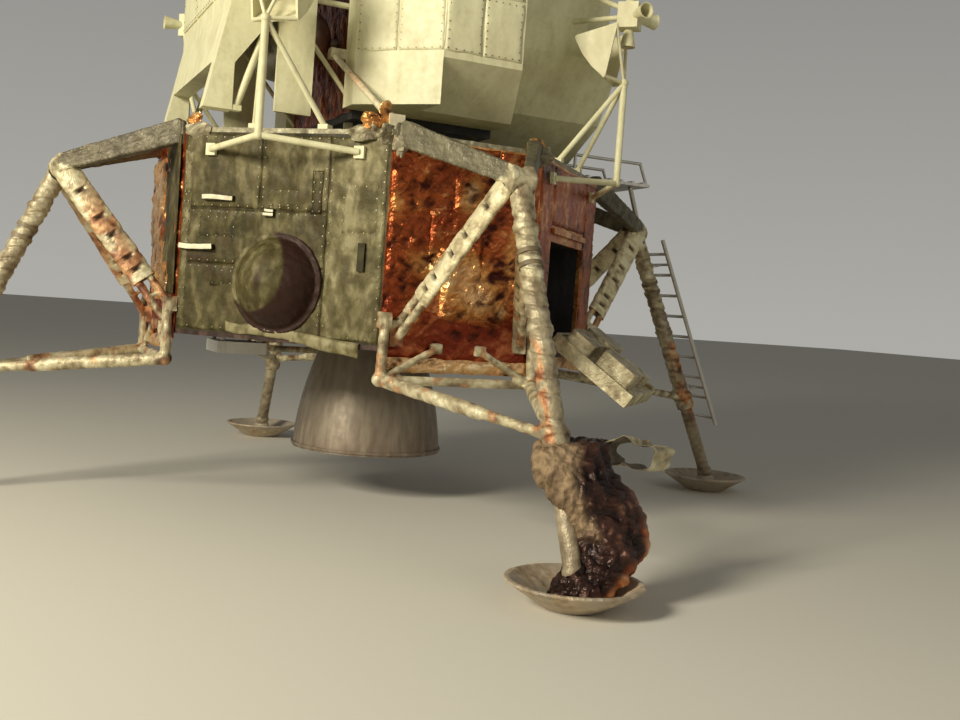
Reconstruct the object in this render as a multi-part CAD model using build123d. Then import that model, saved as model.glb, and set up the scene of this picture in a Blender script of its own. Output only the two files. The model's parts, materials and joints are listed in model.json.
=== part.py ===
"""Two-stage lunar module standing on its four-legged landing gear.

Units are millimetres and +Z is up. The origin is on the ground under the middle of
the craft. The crew's hatch and the ladder face -Y, so starboard is -X.
"""

from build123d import *
from math import cos, pi, radians, sin, sqrt
import os

IN = 25.4
DIAGONAL = sqrt(0.5)

# Heights are worked out from the craft's own stations, counted in inches
GROUND_STATION = 69.0


def up(station):
    """Height of a station above the ground."""
    return (station - GROUND_STATION) * IN


# Descent stage: an eight-sided body with four end walls and four quad panels
ARM_HALF = 27 * IN
REACH = 2060.0
BODY_BOTTOM = 1520.0
BODY_TOP = 3300.0
PANEL_THICK = 40.0
SHIELD_THICK = 40.0
DECK_THICK = 40.0
PANEL_LOW = BODY_BOTTOM + SHIELD_THICK
PANEL_HIGH = BODY_TOP - DECK_THICK
QUAD_RADIUS = (ARM_HALF + REACH) * DIAGONAL
QUAD_HALF = (REACH - ARM_HALF) * DIAGONAL

# Descent engine, in its well
WELL_RADIUS = 760.0
WELL_TOP = 2900.0
SHIELD_HOLE_RADIUS = 720.0
GIMBAL_Z = up(154)
NOZZLE_EXIT_Z = 450.0
NOZZLE_EXIT_RADIUS = 735.0
NOZZLE_WALL = 18.0
CHAMBER_RADIUS = 200.0
CHAMBER_TOP = 2720.0
RING_INNER = 262.0
RING_OUTER = 306.0
RING_HALF_HEIGHT = 34.0
GIMBAL_PIN_RADIUS = 22.0

# Landing gear, drawn for the leg that points along +Y
LEG_ANGLES = {"rear": 0.0, "starboard": 90.0, "front": 180.0, "port": 270.0}
APEX_REACH = 3010.0
APEX_Z = 2890.0
PAD_REACH = 4240.0
PAD_RADIUS = 470.0
PAD_DEPTH = 180.0
PAD_WALL = 26.0
SOCKET_Z = 190.0
CYLINDER_RADIUS = 100.0
PISTON_RADIUS = 70.0
CYLINDER_LOW_Z = 960.0
KNEE_Z = 1070.0
SECONDARY_RADIUS = 55.0
TRUSS_HALF = ARM_HALF
TRUSS_REACH = 2134.0
TRUSS_Z = 1295.0
POST_TOP_Z = 1780.0

# Equipment pallet, on the front-starboard quad, shown lowered
PALLET_HALF = 520.0
PALLET_HEIGHT = 900.0
PALLET_DEPTH = 300.0
PALLET_LOWERED = 125.0
PALLET_HINGE_Z = 1640.0
PALLET_HINGE_OUT = 20.0
BAY_GAP = 30.0

# Ascent stage
CABIN_Z = up(254)
CABIN_RADIUS = 46 * IN + 30
CABIN_SIDES = 12
CABIN_BACK = -ARM_HALF
CABIN_FRONT = -69 * IN
FACE_FRONT = -75 * IN
WALL = 60.0
MID_HALF_DEPTH = ARM_HALF
MID_HALF_WIDTH = 38 * IN
MID_LOW = up(208)
MID_TOP = up(300)
FLOOR_Z = up(214)
TUNNEL_RADIUS = 16 * IN
TUNNEL_OUTER = TUNNEL_RADIUS + 60
TUNNEL_TOP = up(312.5)
RACK_HALF = 44 * IN
RACK_FRONT = 1350.0
RACK_BACK = 1840.0
RACK_BODY_LOW = 4420.0
RACK_HIGH = up(296)
RACK_FOOT_LOW = 3430.0
RACK_FOOT_WIDE = 170.0
TANK_COVER_LOW = up(211)
TANK_COVER_HIGH = up(286)
JET_REACH = 66.1 * IN
JET_Z = up(254)

# Doors and antennas that move
HATCH_HALF = 400.0
HATCH_LOW = up(215.5)
HATCH_THICK = 50.0
HATCH_GAP = 12.0
LID_RADIUS = 430.0
LID_THICK = 40.0
RADAR_AXIS = (0.0, -1930.0, up(331.5))
RADAR_DISH_RADIUS = 12 * IN
STEER_AXIS = (-1350.0, -330.0, up(312))
STEER_DISH_RADIUS = 13 * IN


def box(low, high):
    """Upright box between two opposite corners."""
    size = [b - a for a, b in zip(low, high)]
    return Solid.make_box(*size, Plane(origin=low))


def rod(start, end, radius):
    """Round bar between two points."""
    run = Vector(*end) - Vector(*start)
    return Solid.make_cylinder(radius, run.length, Plane(origin=start, z_dir=run))


def beam(start, end, start_size, end_size):
    """Straight box beam that tapers; each size is its width and its depth."""
    run = Vector(*end) - Vector(*start)
    level = Vector(0, 0, 1).cross(run).normalized()
    sections = []
    for centre, (wide, deep) in ((start, start_size), (end, end_size)):
        sections.append(Plane(origin=centre, x_dir=level, z_dir=run) * Rectangle(wide, deep))
    return loft(sections)


def ball(centre, radius):
    return Pos(*centre) * Sphere(radius)


def prism(points, low, high):
    """Solid over a plan outline, from one height to another."""
    outline = Wire.make_polygon([(x, y, low) for x, y in points], close=True)
    return extrude(Face(outline), amount=high - low, dir=(0, 0, 1))


def turned(profile, x=0.0, y=0.0):
    """Solid of revolution about a vertical line, from (radius, height) points."""
    wire = Wire.make_polygon([(r, 0, z) for r, z in profile], close=True)
    return Pos(x, y, 0) * revolve(Face(wire), Axis.Z, 360)


def spin(shape, angle):
    return Rot(0, 0, angle) * shape


def seated(shape, *neighbours):
    """Cuts a shape back to the faces of what it stands against."""
    for other in neighbours:
        shape = shape - other
    return max(shape.solids(), key=lambda solid: solid.volume)


def octagon(inset=0.0):
    """Plan outline of the descent stage, drawn in by an inset."""
    arm = ARM_HALF - inset * (sqrt(2) - 1)
    reach = REACH - inset
    corner = [(arm, reach), (reach, arm)]
    points = []
    for quarter in range(4):
        a = radians(-90 * quarter)
        points += [(x * cos(a) - y * sin(a), x * sin(a) + y * cos(a)) for x, y in corner]
    return points


def wall_plan(angle, half_outer, radius, thick):
    """Plan of one mitred wall panel whose outward direction is at an angle from +Y."""
    half_inner = half_outer - thick * (sqrt(2) - 1)
    plan = [(-half_outer, radius), (half_outer, radius),
            (half_inner, radius - thick), (-half_inner, radius - thick)]
    a = radians(angle)
    return [(x * cos(a) - y * sin(a), x * sin(a) + y * cos(a)) for x, y in plan]


def quad_frame(angle, shape):
    """Turns a shape drawn on the +Y side to the quad at an angle."""
    return spin(shape, angle)


QUAD_ANGLES = {"rear_starboard": 45.0, "front_starboard": 135.0,
               "front_port": 225.0, "rear_port": 315.0}


def pallet_bay():
    """Recess in the front-starboard quad where the pallet folds up."""
    half = PALLET_HALF + BAY_GAP
    return box((-half, QUAD_RADIUS - PALLET_DEPTH - 2 * BAY_GAP, PALLET_HINGE_Z - 2 * BAY_GAP),
               (half, QUAD_RADIUS + 10, PALLET_HINGE_Z + PALLET_HEIGHT + BAY_GAP))


def pallet_lug(x):
    """Fixed hinge bracket under the bay."""
    y = QUAD_RADIUS + PALLET_HINGE_OUT
    lug = box((x - 28, QUAD_RADIUS, PALLET_HINGE_Z - 110), (x + 28, y, PALLET_HINGE_Z))
    return lug + rod((x - 28, y, PALLET_HINGE_Z), (x + 28, y, PALLET_HINGE_Z), 12)


def descent_core():
    core = prism(octagon(PANEL_THICK), PANEL_LOW, PANEL_HIGH)
    core -= Pos(0, 0, PANEL_LOW) * Cylinder(WELL_RADIUS, WELL_TOP - PANEL_LOW,
                                            align=(Align.CENTER, Align.CENTER, Align.MIN))
    core -= quad_frame(QUAD_ANGLES["front_starboard"], pallet_bay())
    for side in (-1, 1):
        start = (side * (RING_OUTER + 6), 0, GIMBAL_Z)
        core += rod(start, (side * (WELL_RADIUS + 5), 0, GIMBAL_Z), 40) \
            - rod((0, 0, GIMBAL_Z), (side * (RING_OUTER + 40), 0, GIMBAL_Z), GIMBAL_PIN_RADIUS + 1)
    return core


def base_shield():
    plate = prism(octagon(), BODY_BOTTOM, PANEL_LOW)
    return plate - Pos(0, 0, BODY_BOTTOM) * Cylinder(SHIELD_HOLE_RADIUS, 4 * SHIELD_THICK)


def end_wall(name):
    return prism(wall_plan(LEG_ANGLES[name], ARM_HALF, REACH, PANEL_THICK),
                 PANEL_LOW, PANEL_HIGH)


DOOR_PROUD = 14.0

# What stands out from a quad panel: left, right, low, high, and how far it stands out
PANEL_FITTINGS = {
    "rear_starboard": (
        (450, 750, 2680, 2722, 45),
        (620, 950, 2256, 2304, 60),
        (55, 145, 2560, 2625, 42),
        (-806, -744, 2150, 2380, 34),
    ),
    "rear_port": (
        (-790, -12, 1720, 2780, DOOR_PROUD),
        (12, 790, 1720, 2780, DOOR_PROUD),
        (-760, 760, 2800, 2836, 30),
        (-180, -130, 2080, 2300, 34),
        (130, 180, 2080, 2300, 34),
    ),
    "front_port": (
        (-640, 640, 1760, 2640, DOOR_PROUD),
        (-600, 600, 2660, 2696, 30),
        (-70, 70, 1700, 1740, 44),
    ),
    "front_starboard": (
        (-560, 560, 2640, 2690, 34),
        (700, 860, 1900, 2060, 40),
    ),
}
PALLET_LUG_X = 314.0


def quad_panel(name):
    """One flat panel with the doors, ledges and brackets that stand out from it."""
    panel = prism(wall_plan(QUAD_ANGLES[name], QUAD_HALF, QUAD_RADIUS, PANEL_THICK),
                  PANEL_LOW, PANEL_HIGH)
    for left, right, low, high, proud in PANEL_FITTINGS[name]:
        fitting = box((left, QUAD_RADIUS - 5, low), (right, QUAD_RADIUS + proud, high))
        panel += quad_frame(QUAD_ANGLES[name], fitting)
    if name == "front_starboard":
        panel -= quad_frame(QUAD_ANGLES[name], pallet_bay())
        for x in (-PALLET_LUG_X, PALLET_LUG_X):
            panel += quad_frame(QUAD_ANGLES[name], pallet_lug(x))
    return panel


DOME_Z = 2010.0
DOME_RADIUS = 385.0
DOME_DEPTH = 290.0
DOME_RIM = 425.0


def helium_dome():
    """Rounded cover over the helium tank, on the rear-starboard quad panel."""
    sphere = (DOME_RADIUS ** 2 + DOME_DEPTH ** 2) / (2 * DOME_DEPTH)
    dome = Pos(0, QUAD_RADIUS + DOME_DEPTH - sphere, DOME_Z) * Sphere(sphere)
    dome &= box((-600, QUAD_RADIUS, DOME_Z - 600), (600, QUAD_RADIUS + 600, DOME_Z + 600))
    rim = rod((0, QUAD_RADIUS, DOME_Z), (0, QUAD_RADIUS + 28, DOME_Z), DOME_RIM)
    return quad_frame(QUAD_ANGLES["rear_starboard"], dome + rim)


def strut_point(z):
    """Point on the primary strut's centre line at a height, on the +Y leg."""
    share = (APEX_Z - z) / (APEX_Z - SOCKET_Z)
    return (0, APEX_REACH + share * (PAD_REACH - APEX_REACH), z)


# Outrigger: tapered top beams, and diagonals of two bars joined by cross bars
BEAM_ROOT_HALF = 595.0
BEAM_ROOT_Z = BODY_TOP - 20
BEAM_ROOT_SIZE = (110.0, 210.0)
BEAM_HEAD_SIZE = (80.0, 150.0)
BEAM_HEAD_HALF = 64.0
BEAM_SADDLE_HALF = 72.0
APEX_TUBE_HALF = 108.0
APEX_TUBE_RADIUS = 104.0
BRACE_ROOT_HALF = 560.0
BRACE_ROOT_Z = 1670.0
BRACE_ROOT_BOX = (60.0, 110.0)
BRACE_HEAD_HALF = 80.0
BRACE_HALF_GAP = 58.0
BRACE_BAR_RADIUS = 34.0
BRACE_RUNGS = 6
BRACE_RUNG_RADIUS = 17.0


def outrigger():
    """Two top beams and two ladder-like diagonals that carry the leg's top fitting."""
    frame = rod((-APEX_TUBE_HALF, APEX_REACH, APEX_Z), (APEX_TUBE_HALF, APEX_REACH, APEX_Z), APEX_TUBE_RADIUS)
    for side in (-1, 1):
        beam_root = (side * BEAM_ROOT_HALF, REACH + 10, BEAM_ROOT_Z)
        frame += beam(beam_root, (side * BEAM_HEAD_HALF, APEX_REACH + 20, APEX_Z + 40),
                      BEAM_ROOT_SIZE, BEAM_HEAD_SIZE)
        saddle_x = side * BEAM_ROOT_HALF
        frame += box((saddle_x - BEAM_SADDLE_HALF, REACH, BEAM_ROOT_Z - 130),
                     (saddle_x + BEAM_SADDLE_HALF, REACH + 45, BODY_TOP + 60))
        foot = Vector(side * BRACE_ROOT_HALF, REACH + 38, BRACE_ROOT_Z)
        head = Vector(side * BRACE_HEAD_HALF, APEX_REACH - 20, APEX_Z)
        along = (head - foot).normalized()
        aside = along.cross(Vector(1, 0, 0)).normalized() * BRACE_HALF_GAP
        frame += rod(foot + aside, head + aside, BRACE_BAR_RADIUS)
        frame += rod(foot - aside, head - aside, BRACE_BAR_RADIUS)
        for k in range(1, BRACE_RUNGS + 1):
            mid = foot + (head - foot) * (k / (BRACE_RUNGS + 1))
            frame += rod(mid + aside, mid - aside, BRACE_RUNG_RADIUS)
        half_wide, half_high = BRACE_ROOT_BOX
        frame += box((side * BRACE_ROOT_HALF - half_wide, REACH, BRACE_ROOT_Z - half_high),
                     (side * BRACE_ROOT_HALF + half_wide, REACH + 70, BRACE_ROOT_Z + half_high))
    return seated(frame, box((-REACH, 0, 0), (REACH, REACH, BODY_TOP)))


# Heights of the collars round the primary strut's cylinder, and their length along it
COLLAR_HEIGHTS = (2560.0, 1840.0, KNEE_Z + 60)
COLLAR_LENGTH = 60.0
COLLAR_PROUD = 12.0
SHARE_OF_CYLINDER = 0.62
SECONDARY_PISTON_RADIUS = 40.0


def primary_strut():
    """Cylinder with its collars, and the piston below it that ends in a ball."""
    top = strut_point(APEX_Z)
    low = strut_point(CYLINDER_LOW_Z)
    strut = rod(top, low, CYLINDER_RADIUS)
    for z in COLLAR_HEIGHTS:
        strut += rod(strut_point(z), strut_point(z - COLLAR_LENGTH), CYLINDER_RADIUS + COLLAR_PROUD)
    strut += rod(low, strut_point(SOCKET_Z + 60), PISTON_RADIUS)
    strut += ball(strut_point(SOCKET_Z + 30), PISTON_RADIUS + 15)
    return strut


def secondary_strut(corner, knee):
    """Cylinder on the body's side, and a thinner piston on the knee's side."""
    joint = Vector(*corner) + (Vector(*knee) - Vector(*corner)) * SHARE_OF_CYLINDER
    return rod(corner, joint, SECONDARY_RADIUS) + rod(joint, knee, SECONDARY_PISTON_RADIUS)


def gear_truss():
    """Secondary struts, and the truss under the body that they pull on."""
    knee = strut_point(KNEE_Z)
    truss = rod((-TRUSS_HALF, TRUSS_REACH, TRUSS_Z), (TRUSS_HALF, TRUSS_REACH, TRUSS_Z), 38)
    for side in (-1, 1):
        corner = (side * TRUSS_HALF, TRUSS_REACH, TRUSS_Z)
        truss += secondary_strut(corner, knee)
        truss += ball(corner, 62)
        post_x = side * (TRUSS_HALF - 20)
        truss += rod(corner, (post_x, TRUSS_REACH, POST_TOP_Z), 42)
        truss += box((post_x - 50, REACH, POST_TOP_Z - 70),
                     (post_x + 50, TRUSS_REACH + 30, POST_TOP_Z + 60))
        truss += rod(corner, (side * 200, REACH + 50, BODY_BOTTOM + 40), 30)
        truss += box((side * 200 - 50, REACH, BODY_BOTTOM), (side * 200 + 50, REACH + 70, BODY_BOTTOM + 90))
    body = box((-REACH, 0, BODY_BOTTOM), (REACH, REACH, BODY_TOP))
    return seated(truss, body)


def leg():
    """Primary strut with its cylinder and piston, and the truss round its knee."""
    return primary_strut() + gear_truss()


def footpad():
    rim = PAD_RADIUS
    bowl = turned([(0, 0), (210, 0), (rim - 18, PAD_DEPTH - 26), (rim, PAD_DEPTH - 20),
                   (rim, PAD_DEPTH), (rim - 34, PAD_DEPTH), (205, PAD_WALL), (0, PAD_WALL)],
                  y=PAD_REACH)
    socket = turned([(0, PAD_WALL), (120, PAD_WALL), (92, 175), (0, 175)], y=PAD_REACH)
    strut = primary_strut()
    return (bowl + socket) - strut


WRAP_SECTIONS = (
    # height, half width along the wall, half width outwards, shift towards -Y
    (70, 220, 200, 30),
    (200, 245, 220, 140),
    (380, 285, 235, 290),
    (800, 320, 225, 150),
    (1060, 255, 175, 205),
)


def strut_wrap():
    """Bulky foil wrap round the lower part of the starboard strut."""
    rings = []
    for z, half_wide, half_out, shift in WRAP_SECTIONS:
        radial = strut_point(max(z, SOCKET_Z))[1]
        place = Plane(origin=(-shift, radial, z), x_dir=(1, 0, 0), z_dir=(0, 0, 1))
        rings.append(place * Ellipse(half_wide, half_out))
    wrap = seated(loft(rings), leg(), footpad())
    return spin(wrap, LEG_ANGLES["starboard"])


LADDER_HALF = 230.0
LADDER_RUNGS = 9


def ladder():
    """Nine rungs between two rails, on the outer side of the front leg's strut."""
    stand_off = Vector(0, 190, 0)
    top = Vector(*strut_point(2830)) + stand_off
    low = Vector(*strut_point(790)) + stand_off
    side_step = Vector(LADDER_HALF, 0, 0)
    body = rod(low - side_step, top - side_step, 22) + rod(low + side_step, top + side_step, 22)
    for k in range(LADDER_RUNGS):
        at = low + (top - low) * ((k + 0.35) / LADDER_RUNGS)
        body += rod(at - side_step, at + side_step, 17)
    for k in (1, 7):
        at = low + (top - low) * ((k + 0.85) / LADDER_RUNGS)
        body += rod(at - side_step, at + side_step, 15)
        for side in (-1, 1):
            grip = at + Vector(side * 60, 0, 0)
            body += rod(grip, grip - Vector(0, 150, 40), 15)
    return spin(seated(body, primary_strut()), LEG_ANGLES["front"])


PORCH_Z = BODY_TOP + 60
PORCH_START = 1925.0
PORCH_HALF = 400.0
PORCH_RIBS = 7


def porch():
    """Platform with two hand rails between the hatch and the ladder."""
    end = APEX_REACH - 120
    floor = box((-PORCH_HALF, PORCH_START, PORCH_Z), (PORCH_HALF, end, PORCH_Z + 30))
    pitch = (end - PORCH_START) / PORCH_RIBS
    for k in range(PORCH_RIBS):
        y = PORCH_START + (k + 0.4) * pitch
        floor += box((-PORCH_HALF + 10, y, PORCH_Z + 30), (PORCH_HALF - 10, y + 30, PORCH_Z + 50))
    for side in (-1, 1):
        x = side * (PORCH_HALF - 20)
        rail = [(x, PORCH_START + 30, PORCH_Z + 10), (x, PORCH_START + 30, PORCH_Z + 240),
                (x, end - 130, PORCH_Z + 240), (x, end - 30, PORCH_Z + 10)]
        for a, b in zip(rail, rail[1:]):
            floor += rod(a, b, 16)
        for bend in rail[1:3]:
            floor += ball(bend, 18)
        floor += rod((side * 300, REACH - 40, BODY_TOP), (side * 300, REACH - 40, PORCH_Z + 5), 30)
        floor += rod((side * 90, APEX_REACH, APEX_Z), (side * 230, APEX_REACH - 260, PORCH_Z + 5), 26)
    return spin(seated(floor, outrigger()), LEG_ANGLES["front"])


DEFLECTOR_REACH = 2370.0
DEFLECTOR_FOOT_Z = 3170.0
DEFLECTOR_NODE_Z = 4090.0
SCOOP_HALF = 215.0
SCOOP_PLATE = 20.0
# Steps of the ramp and its mouth: inwards and upwards from the truss's top joint
SCOOP_RAMP = ((130, 30), (250, 130), (350, 250), (430, 395))
SCOOP_MOUTH = (50, 505)


def plume_deflector():
    """Curved ramp with two cheeks on a tube truss, drawn on the +Y side."""
    y = DEFLECTOR_REACH
    z = DEFLECTOR_NODE_Z
    foot = (0, y, DEFLECTOR_FOOT_Z)
    node = (0, y, z)
    truss = rod(foot, node, 32) + ball(foot, 38) + ball(node, 42)
    for side in (-1, 1):
        x = side * 700
        truss += rod((x, QUAD_RADIUS + 36, 3110), foot, 27)
        truss += box((x - 45, QUAD_RADIUS, 3060), (x + 45, QUAD_RADIUS + 42, 3160))
        x = side * 330
        truss += rod((x, QUAD_RADIUS - 40, BODY_TOP + 30), node, 24)
        truss += box((x - 45, QUAD_RADIUS - 100, BODY_TOP), (x + 45, QUAD_RADIUS - 8, BODY_TOP + 40))
    ramp = [(y - dy, z + dz) for dy, dz in SCOOP_RAMP]
    mouth = (y - SCOOP_MOUTH[0], z + SCOOP_MOUTH[1])
    thick = [(a - SCOOP_PLATE * 0.7, b - SCOOP_PLATE) for a, b in reversed(ramp)]
    plate = Face(Wire.make_polygon([(-SCOOP_HALF, a, b) for a, b in ramp + thick], close=True))
    scoop = extrude(plate, amount=2 * SCOOP_HALF, dir=(1, 0, 0))
    for side in (-1, 1):
        x = side * SCOOP_HALF
        cheek = Face(Wire.make_polygon([(x, a, b) for a, b in ramp + [mouth]], close=True))
        scoop += extrude(cheek, amount=SCOOP_PLATE, dir=(-side, 0, 0))
        rim = (side * (SCOOP_HALF - 10), mouth[0] - 10, mouth[1] - 20)
        scoop += rod(node, rim, 15) + rod(node, (rim[0], ramp[0][0] - 20, ramp[0][1]), 18)
    return truss + scoop


THROAT_RADIUS = 150.0
THROAT_Z = GIMBAL_Z - 60
NOZZLE_MID = (547.0, 1357.0)


def bell_arc(inset):
    """Bell's profile as one arc from the throat to the exit, drawn in by an inset."""
    return Edge.make_three_point_arc((THROAT_RADIUS - inset, 0, THROAT_Z),
                                     (NOZZLE_MID[0] - inset, 0, NOZZLE_MID[1]),
                                     (NOZZLE_EXIT_RADIUS - inset, 0, NOZZLE_EXIT_Z))


def nozzle():
    """Thin bell with a stiffening ring near its exit."""
    outer = bell_arc(0)
    inner = bell_arc(NOZZLE_WALL)
    throat = Edge.make_line(outer.position_at(0), inner.position_at(0))
    rim = Edge.make_line(outer.position_at(1), inner.position_at(1))
    bell = revolve(Face(Wire([outer, rim, inner, throat])), Axis.Z, 360)
    ring_z = NOZZLE_EXIT_Z + 20
    ring = turned([(NOZZLE_EXIT_RADIUS - 12, ring_z), (NOZZLE_EXIT_RADIUS + 14, ring_z),
                   (NOZZLE_EXIT_RADIUS + 14, ring_z + 24), (NOZZLE_EXIT_RADIUS - 12, ring_z + 24)])
    return bell + ring


def engine_chamber():
    """Combustion chamber as one plain block, with the two pins of its gimbal."""
    body = turned([(0, GIMBAL_Z - 60), (150, GIMBAL_Z - 60), (CHAMBER_RADIUS, GIMBAL_Z),
                   (CHAMBER_RADIUS, CHAMBER_TOP), (0, CHAMBER_TOP)])
    return body + rod((0, -(RING_INNER + 20), GIMBAL_Z), (0, RING_INNER + 20, GIMBAL_Z),
                      GIMBAL_PIN_RADIUS)


def gimbal_ring():
    ring = turned([(RING_INNER, GIMBAL_Z - RING_HALF_HEIGHT), (RING_OUTER, GIMBAL_Z - RING_HALF_HEIGHT),
                   (RING_OUTER, GIMBAL_Z + RING_HALF_HEIGHT), (RING_INNER, GIMBAL_Z + RING_HALF_HEIGHT)])
    ring -= rod((0, -RING_OUTER - 5, GIMBAL_Z), (0, RING_OUTER + 5, GIMBAL_Z), GIMBAL_PIN_RADIUS + 1)
    for side in (-1, 1):
        ring += rod((side * (RING_INNER + 10), 0, GIMBAL_Z), (side * (RING_OUTER + 34), 0, GIMBAL_Z),
                    GIMBAL_PIN_RADIUS)
    return ring


# Cases on the pallet: left, right, low, high, how deep, all from the hinge line
PALLET_CASES = (
    (-460, -60, 90, 420, 150),
    (30, 450, 90, 350, 130),
    (-430, -150, 490, 800, 110),
    (60, 420, 430, 800, 160),
)
CASE_EDGE = 24.0
PALLET_LIP = 30.0
PALLET_PLATE_Y = QUAD_RADIUS - PALLET_DEPTH * 0.4
PALLET_REEL = (-20.0, PALLET_HINGE_Z + 620)
PALLET_TONG_X = -490.0


def pallet_case(left, right, low, high, deep):
    """One tool case with rounded edges, standing inwards from the pallet's plate."""
    case = Box(right - left, deep, high - low, align=(Align.MIN, Align.MAX, Align.MIN))
    case = fillet(case.edges().filter_by(Axis.Y), CASE_EDGE)
    return Pos(left, PALLET_PLATE_Y + 5, PALLET_HINGE_Z + low) * case


def equipment_pallet():
    """Fold-down tray of tools, hinged along its lower edge and drawn lowered."""
    outer_y = QUAD_RADIUS - 4
    rim_y = PALLET_PLATE_Y - PALLET_DEPTH * 0.05
    low = PALLET_HINGE_Z + 12
    high = PALLET_HINGE_Z + PALLET_HEIGHT
    closed = box((-PALLET_HALF, rim_y, low), (PALLET_HALF, outer_y, high))
    closed -= box((-PALLET_HALF + PALLET_LIP, rim_y - 5, low + PALLET_LIP),
                  (PALLET_HALF - PALLET_LIP, PALLET_PLATE_Y, high - PALLET_LIP))
    for case in PALLET_CASES:
        closed += pallet_case(*case)
    reel_x, reel_z = PALLET_REEL
    closed += rod((reel_x, PALLET_PLATE_Y - 90, reel_z), (reel_x, PALLET_PLATE_Y + 5, reel_z), 110)
    tong_y = PALLET_PLATE_Y - 30
    closed += rod((PALLET_TONG_X, tong_y, low + 50), (PALLET_TONG_X, tong_y, high - 20), 16)
    for lug in (-380, 380):
        closed += box((lug - 30, QUAD_RADIUS - 26, PALLET_HINGE_Z - 10),
                      (lug + 30, QUAD_RADIUS + 30, PALLET_HINGE_Z + 40))
    hinge = Axis((0, QUAD_RADIUS + PALLET_HINGE_OUT, PALLET_HINGE_Z), (1, 0, 0))
    return quad_frame(QUAD_ANGLES["front_starboard"], closed.rotate(hinge, -PALLET_LOWERED))


def cabin_outline(inset=0.0):
    """Twelve-sided section of the cabin in (x, z), drawn in by an inset."""
    flat = CABIN_RADIUS - inset
    corner = flat / cos(pi / CABIN_SIDES)
    points = []
    for k in range(CABIN_SIDES):
        a = 2 * pi * (k + 0.5) / CABIN_SIDES
        points.append((corner * cos(a), CABIN_Z + corner * sin(a)))
    return points


def along_y(outline, start, end):
    """Solid over an (x, z) outline from one y to another."""
    wire = Wire.make_polygon([(x, start, z) for x, z in outline], close=True)
    return extrude(Face(wire), amount=abs(end - start), dir=(0, 1 if end > start else -1, 0))


def cabin_shell():
    shell = along_y(cabin_outline(), CABIN_BACK, CABIN_FRONT)
    shell -= along_y(cabin_outline(WALL), CABIN_BACK - WALL, CABIN_FRONT - 10)
    shell -= along_y(mid_outline(WALL), CABIN_BACK + 10, CABIN_BACK - 2 * WALL)
    half = DOCK_WINDOW_HALF
    shell -= box((DOCK_WINDOW_X - half[0], DOCK_WINDOW_Y - half[1], CABIN_Z),
                 (DOCK_WINDOW_X + half[0], DOCK_WINDOW_Y + half[1], CABIN_Z + 2 * CABIN_RADIUS))
    return shell


DOCK_WINDOW_X = 560.0
DOCK_WINDOW_Y = -1250.0
DOCK_WINDOW_HALF = (64.0, 152.0)

# Corners of the starboard window facet: inner top, bottom, outer
FACET_CORNERS = ((-150, FACE_FRONT, up(290)), (-150, FACE_FRONT + 190, up(250)),
                 (-1200, FACE_FRONT + 230, up(272)))
WINDOW_CORNERS = ((-250, up(284)), (-300, up(257)), (-860, up(271)))
FACE_LEDGE = up(249.5)
NOSE_HALF = 150.0
FACE_WALL = WALL


def facet_block(side, depth, grow=0.0):
    """Everything in front of one canted window facet, moved back by a depth."""
    corners = [Vector(side * -x, y, z) for x, y, z in FACET_CORNERS]
    normal = (corners[1] - corners[0]).cross(corners[2] - corners[0]).normalized()
    if normal.Y > 0:
        normal = normal * -1
    place = Plane(origin=corners[0] - normal * depth, z_dir=normal)
    size = 4000.0
    front = place * Box(size, size, 1500, align=(Align.CENTER, Align.CENTER, Align.MIN))
    inner = NOSE_HALF - grow
    keep = box((inner if side > 0 else -2000, FACE_FRONT - 900, FACE_LEDGE - grow),
               (2000 if side > 0 else -inner, CABIN_FRONT + 700, CABIN_Z + 2000))
    return front & keep


def face_solid(inset):
    """Front end of the cabin as a closed block, drawn in by a wall thickness."""
    block = along_y(cabin_outline(inset), CABIN_FRONT, FACE_FRONT + inset)
    for side in (-1, 1):
        block -= facet_block(side, inset, inset)
    return block


def window_frame(side):
    corners = [Vector(side * -x, y, z) for x, y, z in FACET_CORNERS]
    normal = (corners[1] - corners[0]).cross(corners[2] - corners[0]).normalized()
    if normal.Y > 0:
        normal = normal * -1
    spots = []
    for x, z in WINDOW_CORNERS:
        x = side * -x
        y = corners[0].Y - (normal.X * (x - corners[0].X) + normal.Z * (z - corners[0].Z)) / normal.Y
        spots.append(Vector(x, y, z))
    return spots, normal


def window_prism(side, front, back):
    """Triangle of one window, pushed through the wall along the facet's normal."""
    spots, normal = window_frame(side)
    wire = Wire.make_polygon([p + normal * front for p in spots], close=True)
    return extrude(Face(wire), amount=front + back, dir=tuple(normal * -1))


def cabin_face():
    face = face_solid(0) - (Pos(0, 10, 0) * face_solid(FACE_WALL))
    face -= along_y(cabin_outline(FACE_WALL), CABIN_FRONT + 5, CABIN_FRONT - 20)
    half = HATCH_HALF + HATCH_GAP
    face -= box((-half, FACE_FRONT - 50, HATCH_LOW - HATCH_GAP),
                (half, CABIN_FRONT + 300, HATCH_LOW + 2 * HATCH_HALF + HATCH_GAP))
    for side in (-1, 1):
        face -= window_prism(side, 60, 400)
    return face


def window_panes():
    panes = []
    for side in (-1, 1):
        panes.append(window_prism(side, -14, 26))
    top = CABIN_Z + CABIN_RADIUS
    panes.append(box((DOCK_WINDOW_X - DOCK_WINDOW_HALF[0], DOCK_WINDOW_Y - DOCK_WINDOW_HALF[1], top - 60),
                     (DOCK_WINDOW_X + DOCK_WINDOW_HALF[0], DOCK_WINDOW_Y + DOCK_WINDOW_HALF[1], top - 48)))
    return panes


def mid_outline(inset=0.0):
    """Section of the midsection in (x, z), with its top corners cut off."""
    w = MID_HALF_WIDTH - inset
    low = MID_LOW + inset
    high = MID_TOP - inset
    cut = 320 - inset * (sqrt(2) - 1)
    return [(-w, low), (w, low), (w, high - cut), (w - cut, high), (-w + cut, high), (-w, high - cut)]


PANEL_JOINT = 1.0


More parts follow.
